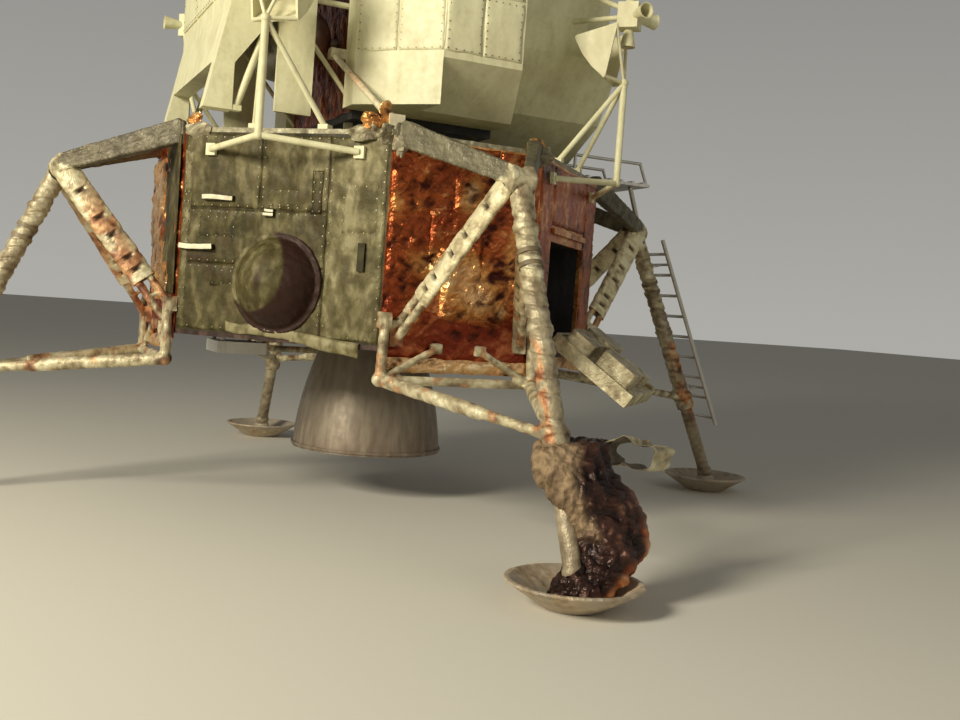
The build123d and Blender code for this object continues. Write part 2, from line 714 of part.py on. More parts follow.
def midsection():
    """Six long panels and the aft bulkhead, with joints between them; open to the cabin."""
    outer = mid_outline()
    inner = mid_outline(WALL)
    aft = MID_HALF_DEPTH - WALL
    panels = [along_y(outer, aft, MID_HALF_DEPTH)]
    for k, start in enumerate(outer):
        end = outer[(k + 1) % len(outer)]
        corners = [Vector(*start), Vector(*end), Vector(*inner[(k + 1) % len(inner)]), Vector(*inner[k])]
        along = (corners[1] - corners[0]).normalized() * (PANEL_JOINT / 2)
        drawn_in = [corners[0] + along, corners[1] - along, corners[2] - along, corners[3] + along]
        outline = [(point.X, point.Y) for point in drawn_in]
        panels.append(along_y(outline, -MID_HALF_DEPTH, aft - PANEL_JOINT))
    hole = Pos(0, 0, MID_TOP) * Cylinder(TUNNEL_RADIUS, 4 * WALL)
    return [panel - hole for panel in panels]


def docking_tunnel():
    ring = turned([(TUNNEL_RADIUS, MID_TOP), (TUNNEL_OUTER + 60, MID_TOP), (TUNNEL_OUTER + 60, MID_TOP + 60),
                   (TUNNEL_OUTER, MID_TOP + 100), (TUNNEL_OUTER, TUNNEL_TOP - 40),
                   (TUNNEL_OUTER + 25, TUNNEL_TOP - 20), (TUNNEL_OUTER + 25, TUNNEL_TOP),
                   (TUNNEL_RADIUS, TUNNEL_TOP)])
    return ring


LID_HINGE = (0.0, LID_RADIUS + 40, MID_TOP - WALL - 30)


def overhead_hatch():
    top = MID_TOP - WALL - 6
    lid = turned([(0, top - LID_THICK), (LID_RADIUS - 30, top - LID_THICK), (LID_RADIUS, top - 15),
                  (LID_RADIUS, top), (0, top)])
    for x in (-120, 120):
        lid += box((x - 18, LID_RADIUS - 60, top - LID_THICK - 4), (x + 18, LID_HINGE[1], top - 12))
        lid += rod((x - 18, LID_HINGE[1], LID_HINGE[2]), (x + 18, LID_HINGE[1], LID_HINGE[2]), 14)
    lid += rod((-90, -150, top - LID_THICK - 30), (90, -150, top - LID_THICK - 30), 12)
    for x in (-85, 85):
        lid += rod((x, -150, top - LID_THICK - 30), (x, -150, top - LID_THICK + 4), 12)
    return lid


HATCH_AXIS = (-(HATCH_HALF + 30), FACE_FRONT + FACE_WALL + 22)


def forward_hatch():
    """Square door that opens inwards, with a raised outer cover and an inner handle."""
    low = HATCH_LOW
    high = HATCH_LOW + 2 * HATCH_HALF
    front = FACE_FRONT + 4
    back = front + HATCH_THICK
    door = box((-HATCH_HALF, front, low), (HATCH_HALF, back, high))
    door += box((-HATCH_HALF + 90, front - 10, low + 90), (HATCH_HALF - 90, front, high - 90))
    hinge_x, hinge_y = HATCH_AXIS
    for z in (low + 170, high - 170):
        door += box((-HATCH_HALF + 8, back, z - 30), (-HATCH_HALF + 40, hinge_y + 8, z + 30))
        door += box((hinge_x, hinge_y - 8, z - 30), (-HATCH_HALF + 8, hinge_y + 8, z + 30))
        door += rod((hinge_x, hinge_y, z - 30), (hinge_x, hinge_y, z + 30), 12)
    x = HATCH_HALF - 110
    door += rod((x, back + 40, low + 300), (x, back + 40, high - 300), 11)
    for z in (low + 340, high - 340):
        door += rod((x, back - 10, z), (x, back + 40, z), 9)
    return door


def cabin_floor():
    half = 700.0
    floor = box((-half, FACE_FRONT + FACE_WALL + 20, FLOOR_Z - 30), (half, CABIN_BACK, FLOOR_Z))
    return floor & along_y(cabin_outline(WALL), CABIN_BACK, FACE_FRONT + FACE_WALL + 20)


# How far the console's shelf stays above the hatch, which swings in under it
SHELF_GAP = 30.0


def instrument_console():
    """Crew panels behind the windows, carried by the cabin's side walls."""
    front = CABIN_FRONT + 190
    inside = along_y(cabin_outline(WALL), CABIN_BACK, CABIN_FRONT)
    panels = [box((-430, front, up(251)), (430, front + 180, up(266)))]
    shelf = HATCH_LOW + 2 * HATCH_HALF + SHELF_GAP
    panels[0] += box((-430, front + 60, shelf), (430, front + 330, up(251)))
    panels[0] += box((-1300, front + 120, shelf), (1300, front + 170, shelf + 50))
    for side in (-1, 1):
        x = side * 900
        panels.append(box((x - 220, front + 200, up(234)), (x + 220, front + 700, up(241))) & inside)
    panels[0] = panels[0] & inside
    return panels


def engine_cover():
    """Round cover over the ascent engine, in the middle of the cabin's rear floor."""
    low = MID_LOW + WALL
    return turned([(0, low), (400, low), (400, low + 380), (360, low + 420), (0, low + 420)])


# Side view of the rack in (y, z): sloping rear foot, then a slanted lower front edge
RACK_SIDE = (
    (2020, RACK_FOOT_LOW),
    (1780, RACK_FOOT_LOW),
    (1780, 3820),
    (RACK_FRONT, RACK_BODY_LOW),
    (RACK_FRONT, RACK_HIGH),
    (RACK_BACK, RACK_HIGH),
    (RACK_BACK, 4300),
)
# Covers on the rack's rear face: left, right, low, high
RACK_COVERS = (
    (-1060, -400, 4480, 5080),
    (-360, 360, 4480, 5080),
    (400, 1060, 4480, 5080),
    (-1060, -30, 5120, 5700),
    (30, 1060, 5120, 5700),
)
SIDE_PLATE_OUT = 1060.0
SIDE_PLATE_THICK = 40.0
RACK_STRUT_X = 925.0


def rack_block():
    """Closed block of the rack, with the gap between its two feet."""
    outline = Wire.make_polygon([(-RACK_HALF, y, z) for y, z in RACK_SIDE], close=True)
    block = extrude(Face(outline), amount=2 * RACK_HALF, dir=(1, 0, 0))
    inside = RACK_HALF - RACK_FOOT_WIDE
    return block - box((-inside, RACK_FRONT, RACK_FOOT_LOW - 10), (inside, 2100, 3830))


def aft_rack():
    """Rear equipment rack with its covers, side plates and the struts to the midsection."""
    rack = rack_block()
    for left, right, low, high in RACK_COVERS:
        rack += box((left, RACK_BACK - 5, low), (right, RACK_BACK + 16, high))
    for side in (-1, 1):
        plate = sorted((side * SIDE_PLATE_OUT, side * (SIDE_PLATE_OUT - SIDE_PLATE_THICK)))
        rack += box((plate[0], 1090, 3480), (plate[1], RACK_FRONT + 60, 5500))
        x = side * RACK_STRUT_X
        for z in (RACK_BODY_LOW + 90, RACK_HIGH - 200):
            rack += rod((x, MID_HALF_DEPTH, z), (x, RACK_FRONT + 20, z), 26)
        rack += rod((x, MID_HALF_DEPTH + 10, RACK_FOOT_LOW + 260),
                    (x, RACK_FRONT + 20, RACK_BODY_LOW + 60), 22)
        x = side * (RACK_HALF - 45)
        rack += rod((x, 1740, RACK_FOOT_LOW + 35), (x, 1500, 4230), 30)
        rack += box((x - 40, 1700, RACK_FOOT_LOW), (x + 40, 1800, RACK_FOOT_LOW + 45))
    return seated(rack, along_y(mid_outline(), -MID_HALF_DEPTH, MID_HALF_DEPTH))


SPHERE_Y = 1045.0
SPHERE_X = 400.0


def gas_spheres():
    """Helium and oxygen spheres between the midsection and the aft rack, each on a stub."""
    spheres = []
    for x in (-SPHERE_X, SPHERE_X):
        for z, radius in ((up(238), 11 * IN), (up(268), 6 * IN)):
            stub = rod((x, MID_HALF_DEPTH, z), (x, SPHERE_Y, z), 40)
            spheres.append(ball((x, SPHERE_Y, z), radius) + stub)
    return spheres


# Tank covers: where the plan's corners are, and how far the lower edge is cut under
COVER_AFT = MID_HALF_DEPTH + 90
COVER_FORE = -MID_HALF_DEPTH - 60
COVER_CHAMFER_Y = 200.0
COVER_FRONT_Y = -545.0
UNDERCUT_Z = 4040.0
UNDERCUT_IN = 430.0
TOP_SLOPE = 420.0


def tank_cover(side, outer):
    """Faceted cover over one propellant tank, standing out from the midsection."""
    inner = side * MID_HALF_WIDTH
    reach = outer - inner
    plan = [(inner, COVER_AFT), (inner + reach * 0.3, COVER_AFT), (outer, COVER_CHAMFER_Y),
            (outer, COVER_FRONT_Y), (inner + reach * 0.25, COVER_FORE), (inner, COVER_FORE)]
    low = TANK_COVER_LOW
    high = TANK_COVER_HIGH
    cover = prism(plan, low, high)
    x_out = outer + side * 40
    under = [(x_out, low - 20), (x_out, UNDERCUT_Z), (x_out - side * (UNDERCUT_IN + 40), low - 20)]
    top = [(x_out, high + 20), (x_out, high - TOP_SLOPE), (x_out - side * TOP_SLOPE * 0.8, high + 20)]
    cover -= along_y(under, COVER_CHAMFER_Y, -1500)
    cover -= along_y(top, 1500, -1500)
    return seated(cover, along_y(cabin_outline(), CABIN_BACK, FACE_FRONT))


JET_NAMES = {"rear_starboard": (-1, 1), "front_starboard": (-1, -1),
             "front_port": (1, -1), "rear_port": (1, 1)}


def jet_cluster(sx, sy):
    """Four small thrusters round a block, on struts from the ascent stage."""
    x = sx * JET_REACH
    y = sy * JET_REACH
    body = Pos(x, y, JET_Z) * spin(Box(190, 190, 230), 45)
    for direction in ((0, 0, 1), (0, 0, -1), (sx, 0, 0), (0, sy, 0)):
        d = Vector(*direction)
        start = Vector(x, y, JET_Z) + d * 70
        place = Plane(origin=start, z_dir=d)
        cone = Solid.make_cone(30, 72, 210, place)
        cone -= Solid.make_cone(20, 64, 216, place)
        body += cone
    if sy < 0:
        roots = [(sx * 1080, CABIN_FRONT + 260, z) for z in (JET_Z - 130, JET_Z + 330)]
        roots.append((sx * 1150, CABIN_FRONT + 420, JET_Z))
    else:
        roots = [(sx * RACK_HALF, RACK_FRONT + 120, z) for z in (JET_Z - 130, JET_Z + 330)]
        roots.append((sx * RACK_HALF, RACK_FRONT + 420, JET_Z))
    for root in roots:
        body += rod(root, (x, y, JET_Z + (root[2] - JET_Z) * 0.15), 24)
    return seated(body, along_y(cabin_outline(), CABIN_BACK, CABIN_FRONT), rack_block())


def interstage_fittings():
    """Four pyramids that carry the ascent stage above the deck."""
    fittings = []
    for sx in (-1, 1):
        for sy in (-1, 1):
            x = sx * ARM_HALF
            y = sy * (ARM_HALF - 60)
            fitting = box((x - 60, y - 60, BODY_TOP), (x + 60, y + 60, BODY_TOP + 60))
            fitting += rod((x, y, BODY_TOP + 40), (x, y, MID_LOW), 45)
            fittings.append(fitting)
    fittings.append(corner_brace())
    return fittings


def corner_brace():
    """Slanted brace from a block on the deck's corner up to the midsection's rear wall."""
    foot = (-1985, 650, BODY_TOP)
    head = (-905, 880, 4080)
    brace = box((foot[0] - 65, foot[1] - 65, BODY_TOP), (foot[0] + 65, foot[1] + 65, BODY_TOP + 130))
    brace += rod((foot[0], foot[1] + 40, BODY_TOP + 95), head, 27)
    brace += box((head[0] - 50, MID_HALF_DEPTH, head[2] - 45), (head[0] + 45, head[1] + 30, head[2] + 45))
    return brace


def dish(radius, depth, wall):
    """Shallow dish that faces -Y with its back at the origin."""
    span = (radius * radius + depth * depth) / (2 * depth)
    cap = Pos(0, -span, 0) * Sphere(span) - Pos(0, -span - wall, 0) * Sphere(span)
    keep = box((-radius * 1.2, -depth, -radius * 1.2), (radius * 1.2, 5, radius * 1.2))
    bowl = cap & keep
    return bowl


# How far behind the bearings the pedestal's legs stand, clear of the tilted dish
RADAR_ELBOW = 110.0


def radar_mount():
    """Pedestal of the tracking radar, on the cabin's brow."""
    y, z = RADAR_AXIS[1:]
    base_z = CABIN_Z + CABIN_RADIUS
    pedestal = box((-150, CABIN_FRONT - 60, base_z), (150, CABIN_FRONT + 200, base_z + 40))
    elbow_y = y + RADAR_ELBOW
    for side in (-1, 1):
        x = side * 122
        pedestal += rod((x, CABIN_FRONT + 150, base_z + 20), (x, elbow_y, z - 10), 22)
        pedestal += rod((x, CABIN_FRONT + 60, base_z + 20), (x, elbow_y - 20, z - 40), 20)
        pedestal += rod((x, y, z), (x, elbow_y + 5, z - 12), 24)
        pedestal += rod((side * 106, y, z), (side * 138, y, z), 46)
    pedestal += rod((-118, CABIN_FRONT + 37, base_z + 130), (118, CABIN_FRONT + 37, base_z + 130), 16)
    pedestal -= rod((-128.3, y, z), (128.3, y, z), 20.3)
    pedestal -= rod((-104, y, z), (104, y, z), 64)
    return pedestal


TRUNNION_OUT = 215.0


def radar_yoke():
    """Cross shaft with a fork in front of it that holds the dish's upright pin."""
    y, z = RADAR_AXIS[1:]
    yoke = rod((-96, y, z), (96, y, z), 50)
    yoke += rod((-126, y, z), (126, y, z), 20)
    pivot_y = y - TRUNNION_OUT
    web_y = pivot_y + 45
    yoke += box((-30, web_y + 8, z - 30), (30, y, z + 30))
    yoke += box((-34, web_y, z - 66), (34, web_y + 16, z + 66))
    for low in (-66, 52):
        yoke += box((-34, pivot_y - 34, z + low), (34, web_y + 10, z + low + 14))
    return yoke - rod((0, pivot_y, z - 80), (0, pivot_y, z + 80), 16.3)


def radar_dish():
    y, z = RADAR_AXIS[1:]
    pivot_y = y - TRUNNION_OUT
    back = pivot_y - 64
    body = rod((0, pivot_y, z - 46), (0, pivot_y, z + 46), 30)
    body += rod((0, pivot_y, z - 66), (0, pivot_y, z + 66), 16)
    body += box((-24, back - 4, z - 40), (24, pivot_y, z + 40))
    body += Pos(0, back, z) * dish(RADAR_DISH_RADIUS, 95, 14)
    for k in range(4):
        a = radians(90 * k + 45)
        body += rod((200 * cos(a), back - 30, z + 200 * sin(a)), (0, back - 270, z), 7)
    return body + rod((0, back - 285, z), (0, back - 235, z), 42)


def steer_boom():
    """Mast of the steerable antenna, on the starboard tank cover, with its brace."""
    x, y, z = STEER_AXIS
    foot = TANK_COVER_HIGH
    mast = rod((x, y, foot), (x, y, z - 70), 34)
    mast += rod((x, y, foot), (x, y, foot + 24), 90)
    mast += rod((x, y, foot + 330), (-MID_HALF_WIDTH + 200, y, MID_TOP - 130), 22)
    mast += rod((x, y, z - 95), (x, y, z - 70), 60)
    return seated(mast, along_y(mid_outline(), -MID_HALF_DEPTH, MID_HALF_DEPTH))


def steer_yoke():
    x, y, z = STEER_AXIS
    yoke = rod((x, y, z - 65), (x, y, z + 50), 46)
    yoke += rod((x, y, z), (x, y - 75, z), 40)
    yoke += box((x - 90, y + 30, z - 60), (x + 90, y + 190, z + 60))
    return yoke


def steer_dish():
    x, y, z = STEER_AXIS
    centre_y = y - 460
    body = rod((x, y - 82, z), (x, centre_y + 20, z), 24)
    body += box((x - 50, centre_y - 55, z - 70), (x + 50, centre_y + 55, z + 70))
    bowl = Pos(x - 56, centre_y, z) * spin(dish(STEER_DISH_RADIUS, 110, 14), -90)
    body += bowl
    body += rod((x - 60, centre_y, z), (x - 300, centre_y, z), 9)
    body += rod((x - 285, centre_y, z), (x - 300, centre_y, z), 50)
    return body


def inflight_antennas():
    """Two whip-like scimitar antennas on top and two round ones at the front."""
    horns = []
    for sx in (-1, 1):
        base = (sx * 560, MID_HALF_DEPTH - 220, MID_TOP)
        stalk = rod(base, (sx * 640, MID_HALF_DEPTH - 120, MID_TOP + 360), 16)
        stalk += rod((sx * 640, MID_HALF_DEPTH - 120, MID_TOP + 340),
                     (sx * 640, MID_HALF_DEPTH - 120, MID_TOP + 400), 75)
        horns.append(seated(stalk, along_y(mid_outline(), -MID_HALF_DEPTH, MID_HALF_DEPTH)))
    for sx in (-1, 1):
        root = (sx * 900, CABIN_FRONT + 60, up(284))
        tip = (sx * 1060, CABIN_FRONT - 130, up(296))
        stub = rod(root, tip, 16)
        stub += Plane(origin=tip, z_dir=Vector(sx * 100, -190, 60)) * Solid.make_cone(14, 60, 130)
        horns.append(seated(stub, along_y(cabin_outline(), CABIN_BACK, FACE_FRONT)))
    return horns


def tracking_light():
    return rod((0, FACE_FRONT, up(292)), (0, FACE_FRONT - 90, up(292)), 55)


def docking_target():
    x, y = -100.0, -1080.0
    base = CABIN_Z + CABIN_RADIUS
    target = rod((x, y, base), (x, y, base + 30), 200)
    target += rod((x, y, base + 20), (x, y, base + 230), 14)
    target += box((x - 80, y - 10, base + 215), (x + 80, y + 10, base + 235))
    target += box((x - 10, y - 80, base + 215), (x + 10, y + 80, base + 235))
    return target


def fuel_cask():
    """Round cask on a bracket, outside the rear-port quad."""
    y = QUAD_RADIUS + 190
    x = 430
    cask = turned([(0, 2050), (70, 2050), (110, 2100), (110, 2480), (70, 2530), (0, 2530)], x, y)
    for z in (2160, 2420):
        cask += box((x - 60, QUAD_RADIUS + DOOR_PROUD, z - 20), (x + 60, y - 60, z + 20))
    return quad_frame(QUAD_ANGLES["rear_port"], cask)


def landing_radar():
    """Flat four-beam antenna under the rear of the body."""
    tray = box((700, 900, BODY_BOTTOM - 230), (1260, 1400, BODY_BOTTOM - 110))
    for x in (760, 1200):
        for y in (960, 1340):
            tray += rod((x, y, BODY_BOTTOM - 115), (x, y, BODY_BOTTOM), 24)
    return tray


def keep(name, *shapes):
    """Writes one node, made of one or more separate solids."""
    parts = []
    for shape in shapes:
        parts += list(shape.solids())
    whole = parts[0] if len(parts) == 1 else Compound(children=parts)
    export_step(whole, f"parts/{name}.step")


def build_descent_stage():
    keep("descent_core", descent_core())
    keep("top_deck", prism(octagon(), PANEL_HIGH, BODY_TOP))
    keep("base_heat_shield", base_shield())
    keep("end_walls", *[end_wall(name) for name in LEG_ANGLES])
    for name in QUAD_ANGLES:
        keep(f"quad_panel_{name}", quad_panel(name))
        keep(f"plume_deflector_{name}", quad_frame(QUAD_ANGLES[name], plume_deflector()))
    keep("helium_tank_dome", helium_dome())
    keep("descent_nozzle", nozzle())
    keep("descent_engine", engine_chamber())
    keep("gimbal_ring", gimbal_ring())
    keep("equipment_pallet", equipment_pallet())
    keep("fuel_cask", fuel_cask())
    keep("landing_radar", landing_radar())


def build_gear():
    frame = outrigger()
    strut = seated(leg(), frame)
    keep("footpads", *[spin(footpad(), angle) for angle in LEG_ANGLES.values()])
    for name, angle in LEG_ANGLES.items():
        keep(f"outrigger_{name}", spin(frame, angle))
        keep(f"leg_{name}", spin(strut, angle))
    keep("strut_wrap", strut_wrap())
    keep("ladder", ladder())
    keep("porch", porch())


def build_ascent_stage():
    keep("interstage_fittings", *interstage_fittings())
    keep("cabin_shell", cabin_shell())
    keep("cabin_face", cabin_face())
    keep("window_panes", *window_panes())
    keep("forward_hatch", forward_hatch())
    keep("cabin_fittings", cabin_floor(), *instrument_console())
    keep("ascent_engine_cover", engine_cover())
    keep("midsection", *midsection())
    keep("docking_tunnel", docking_tunnel())
    keep("overhead_hatch", overhead_hatch())
    keep("aft_rack", aft_rack())
    keep("gas_spheres", *gas_spheres())
    keep("tank_cover_port", tank_cover(1, 100 * IN))
    keep("tank_cover_starboard", tank_cover(-1, -72 * IN))
    for name, (sx, sy) in JET_NAMES.items():
        keep(f"jets_{name}", jet_cluster(sx, sy))


def build_antennas():
    keep("radar_mount", radar_mount())
    keep("radar_yoke", radar_yoke())
    keep("radar_dish", radar_dish())
    keep("steer_boom", steer_boom())
    keep("steer_yoke", steer_yoke())
    keep("steer_dish", steer_dish())
    keep("inflight_antennas", *inflight_antennas())
    keep("docking_aids", tracking_light(), docking_target())


os.makedirs("parts", exist_ok=True)
build_descent_stage()
build_gear()
build_ascent_stage()
build_antennas()
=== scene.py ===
"""Finishes and soft coverings of the lunar module, over its rigid parts.

Units are metres, +Z is up, the hatch faces -Y and starboard is -X. Foil blankets, panel skins, tape,
fasteners and the plates round the cabin's windows are made here; the rest of the structure comes from the
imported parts.
"""
import json
from math import cos, pi, radians, sin, sqrt

import bmesh
import bpy
import numpy as np
from mathutils import Matrix, Vector


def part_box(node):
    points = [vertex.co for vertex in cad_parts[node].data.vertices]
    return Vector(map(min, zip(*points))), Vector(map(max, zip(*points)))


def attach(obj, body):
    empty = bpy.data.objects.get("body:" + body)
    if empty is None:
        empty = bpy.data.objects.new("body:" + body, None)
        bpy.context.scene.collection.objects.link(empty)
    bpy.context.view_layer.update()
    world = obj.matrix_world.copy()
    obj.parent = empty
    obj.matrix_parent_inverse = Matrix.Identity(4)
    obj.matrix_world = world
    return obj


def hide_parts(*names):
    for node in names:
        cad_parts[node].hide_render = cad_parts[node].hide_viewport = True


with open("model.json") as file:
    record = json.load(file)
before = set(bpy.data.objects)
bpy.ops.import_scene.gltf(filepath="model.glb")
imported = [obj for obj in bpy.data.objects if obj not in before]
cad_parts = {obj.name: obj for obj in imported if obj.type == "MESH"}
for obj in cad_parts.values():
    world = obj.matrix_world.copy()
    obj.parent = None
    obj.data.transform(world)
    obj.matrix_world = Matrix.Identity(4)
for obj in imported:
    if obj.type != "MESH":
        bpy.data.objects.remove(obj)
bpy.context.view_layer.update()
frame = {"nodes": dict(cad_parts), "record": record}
nodes = frame["nodes"]
scene = bpy.context.scene
scene.view_settings.view_transform = "Standard"
INCH = 0.0254
RISE = np.array((0, 0, 1.0))

# The eight-sided descent body, as the parts have it
ARM_HALF = 27 * INCH
REACH = 2.060
QUAD_RADIUS = (ARM_HALF + REACH) * sqrt(0.5)
LEG_ANGLES = {"rear": 0, "starboard": 90, "front": 180, "port": 270}
QUAD_ANGLES = {"rear_starboard": 45, "front_starboard": 135, "front_port": 225, "rear_port": 315}

# The leg that points along +Y, and the lines of its outrigger on the side of +X
APEX = np.array((0, 3.010, 2.890))
SOCKET = np.array((0, 4.240, 0.190))
STRUT_RADIUS = 0.100
BEAM = (np.array((0.595, 2.070, 3.280)), np.array((0.064, 3.030, 2.930)))
BRACE = (np.array((0.560, 2.098, 1.670)), np.array((0.080, 2.990, 2.890)))

# Ascent stage, worked out from the same stations as the parts
CABIN_Z = sum(corner.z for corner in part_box("cabin_shell")) / 2
CABIN_RADIUS = 46 * INCH + 0.030
CABIN_FRONT = -69 * INCH
FACE_FRONT = -75 * INCH
MID_HALF_DEPTH = ARM_HALF


# Camera, floor and light

CAMERA_PLACE = Vector((-10.348, 3.700, 1.902))
CAMERA_YAW = radians(-25.37)
CAMERA_PITCH = radians(-2.573)
CAMERA_ROLL = radians(4.149)
CAMERA_LENS = 40.76
# Direction of each lamp from the craft, its distance, size and power
LAMPS = {
    "key": (Vector((-0.48, 0.88, 0.36)), 17.0, 4.0, 2750),
    "fill": (Vector((-0.9, -0.45, 0.5)), 15.0, 9.0, 150),
}
LAMP_COLOUR = (1.0, 0.935, 0.77)
CRAFT_MIDDLE = Vector((0, 0, 2.6))
FLOOR_HALF = 120
# The floor lies this far below the footpads, so that the two faces stay apart
FLOOR_DROP = 0.002


def make_camera():
    """Stands the camera where the photograph was taken."""
    reach = cos(CAMERA_PITCH)
    ahead = Vector((reach * cos(CAMERA_YAW), reach * sin(CAMERA_YAW), sin(CAMERA_PITCH)))
    level = ahead.cross(Vector(RISE)).normalized()
    upright = level.cross(ahead)
    right = level * cos(CAMERA_ROLL) + upright * sin(CAMERA_ROLL)
    above = upright * cos(CAMERA_ROLL) - level * sin(CAMERA_ROLL)
    data = bpy.data.cameras.new("photo_view")
    data.sensor_width = 36
    data.lens = CAMERA_LENS
    data.clip_end = 500
    camera = bpy.data.objects.new("photo_view", data)
    turn = Matrix((right, above, -ahead)).transposed().to_4x4()
    camera.matrix_world = Matrix.Translation(CAMERA_PLACE) @ turn
    scene.collection.objects.link(camera)
    scene.camera = camera


def make_lamp(name, direction, distance, size, power):
    """Square soft lamp that looks at the middle of the craft."""
    data = bpy.data.lights.new(name, "AREA")
    data.size = size
    data.energy = power
    data.color = LAMP_COLOUR
    lamp = bpy.data.objects.new(name, data)
    way = direction.normalized()
    lamp.location = CRAFT_MIDDLE + way * distance
    lamp.rotation_mode = "QUATERNION"
    lamp.rotation_quaternion = (-way).to_track_quat("-Z", "Y")
    scene.collection.objects.link(lamp)


def make_world():
    """Studio surroundings: pale at the horizon and darker overhead."""
    world = bpy.data.worlds.new("studio")
    world.use_nodes = True
    tree = world.node_tree
    background = tree.nodes["Background"]
    where = tree.nodes.new("ShaderNodeTexCoord")
    split = tree.nodes.new("ShaderNodeSeparateXYZ")
    ramp = tree.nodes.new("ShaderNodeValToRGB")
    ramp.color_ramp.elements[0].color = (0.42, 0.41, 0.38, 1)
    ramp.color_ramp.elements[1].color = (0.10, 0.10, 0.10, 1)
    ramp.color_ramp.elements[1].position = 0.7
    tree.links.new(where.outputs["Generated"], split.inputs[0])
    tree.links.new(split.outputs["Z"], ramp.inputs[0])
    tree.links.new(ramp.outputs[0], background.inputs["Color"])
    scene.world = world


def make_floor():
    """Plain pale floor."""
    data = bpy.data.meshes.new("floor")
    corners = [(x * FLOOR_HALF, y * FLOOR_HALF, 0) for x, y in ((-1, -1), (1, -1), (1, 1), (-1, 1))]
    data.from_pydata(corners, [], [(0, 1, 2, 3)])
    floor = bpy.data.objects.new("floor", data)
    floor.location.z = -FLOOR_DROP
    scene.collection.objects.link(floor)
    plain = bpy.data.materials.new("pale_floor")
    plain.use_nodes = True
    shader = plain.node_tree.nodes["Principled BSDF"]
    shader.inputs["Base Color"].default_value = (0.72, 0.69, 0.60, 1)
    shader.inputs["Roughness"].default_value = 0.9
    data.materials.append(plain)


# Finishes

class Finish:
    """One procedural material, put together from a few kinds of node."""

    def __init__(self, name, metallic=0.0):
        self.material = bpy.data.materials.new(name)
        self.material.use_nodes = True
        self.tree = self.material.node_tree
        self.shader = self.tree.nodes["Principled BSDF"]
        self.shader.inputs["Metallic"].default_value = metallic
        self.place = self.add("ShaderNodeTexCoord").outputs["Object"]

    def add(self, kind, **settings):
        node = self.tree.nodes.new(kind)
        for key, value in settings.items():
            setattr(node, key, value)
        return node

    def put(self, socket, value):
        """Links a value that comes from a node, or sets a plain one."""
        if isinstance(value, bpy.types.NodeSocket):
            self.tree.links.new(value, socket)
        elif isinstance(value, tuple) and len(value) == 3 and socket.type == "RGBA":
            socket.default_value = (*value, 1)
        else:
            socket.default_value = value

    def turned(self, angle, stretch):
        """The piece's own coordinates, turned about Z and stretched."""
        node = self.add("ShaderNodeMapping")
        self.put(node.inputs["Vector"], self.place)
        node.inputs["Rotation"].default_value = (0, 0, angle)
        node.inputs["Scale"].default_value = stretch
        return node.outputs[0]

    def noise(self, scale, detail=4.0, distortion=0.0, at=None):
        node = self.add("ShaderNodeTexNoise")
        self.put(node.inputs["Vector"], at or self.place)
        node.inputs["Scale"].default_value = scale
        node.inputs["Detail"].default_value = detail
        node.inputs["Distortion"].default_value = distortion
        return node.outputs["Fac"]

    def cell_edges(self, scale, at):
        """Distance from the edges of a net of uneven cells."""
        node = self.add("ShaderNodeTexVoronoi", feature="DISTANCE_TO_EDGE")
        self.put(node.inputs["Vector"], at)
        node.inputs["Scale"].default_value = scale
        return node.outputs["Distance"]

    def attribute(self, name):
        """Number that store() keeps for each point of a mesh; 0 where a mesh has none."""
        return self.add("ShaderNodeAttribute", attribute_name=name).outputs["Fac"]

    def height(self):
        node = self.add("ShaderNodeSeparateXYZ")
        self.put(node.inputs[0], self.place)
        return node.outputs["Z"]

    def sum(self, a, b, share=0.5):
        """Weighted sum of two values; share is what the second one counts for."""
        node = self.add("ShaderNodeMix", data_type="FLOAT")
        node.inputs["Factor"].default_value = share
        self.put(node.inputs[2], a)
        self.put(node.inputs[3], b)
        return node.outputs[0]

    def ramp(self, value, *stops):
        """Colours along a value; each stop is its position and its colour or grey level."""
        node = self.add("ShaderNodeValToRGB")
        self.put(node.inputs[0], value)
        line = node.color_ramp
        while len(line.elements) < len(stops):
            line.elements.new(0.5)
        for element, (position, colour) in zip(line.elements, stops):
            element.position = position
            element.color = (*colour, 1) if isinstance(colour, tuple) else (colour, colour, colour, 1)
        return node.outputs[0]

    def mix(self, share, a, b, blend="MIX"):
        node = self.add("ShaderNodeMix", data_type="RGBA", blend_type=blend)
        self.put(node.inputs["Factor"], share)
        self.put(node.inputs[6], a)
        self.put(node.inputs[7], b)
        return node.outputs[2]

    def uneven(self, scale, low, high):
        """Value that goes from low to high in soft patches."""
        return self.ramp(self.noise(scale), (0.3, low), (0.7, high))

    def bump(self, height, distance, strength, under=None):
        """Relief from a height; another relief may lie under it."""
        node = self.add("ShaderNodeBump")
        node.inputs["Strength"].default_value = strength
        node.inputs["Distance"].default_value = distance
        self.put(node.inputs["Height"], height)
        if under:
            self.put(node.inputs["Normal"], under)
        return node.outputs[0]

    def wear(self, colour, rough, relief=None):
        """Joins the finished colour, roughness and relief to the shader."""
        self.put(self.shader.inputs["Base Color"], colour)
        self.put(self.shader.inputs["Roughness"], rough)
        if relief:
            self.put(self.shader.inputs["Normal"], relief)
        return self.material


def foil_relief(finish, fine=48.0, coarse=15.0):
    """Small creases of thin foil, too fine for the mesh."""
    folds = finish.cell_edges(fine, finish.turned(0.4, (1, 1, 0.8)))
    waves = finish.bump(finish.noise(coarse, 5.0, 0.8), 0.012, 0.7)
    return finish.bump(folds, 0.006, 0.4, waves)


# The foil finishes paint shade in the low tones, where folds sink, and highlights in the high ones
def fold_tone(finish, covered, large, small, share):
    """How far a spot stands out of its folds; plain parts have noise for it in place of real folds."""
    patches = finish.sum(finish.noise(large, 3.0, 0.5), finish.noise(small, 4.0), 0.4)
    if covered:
        return finish.sum(finish.attribute("fold"), patches, share)
    return finish.sum(finish.noise(large * 3, 5.0, 1.2), patches, share)


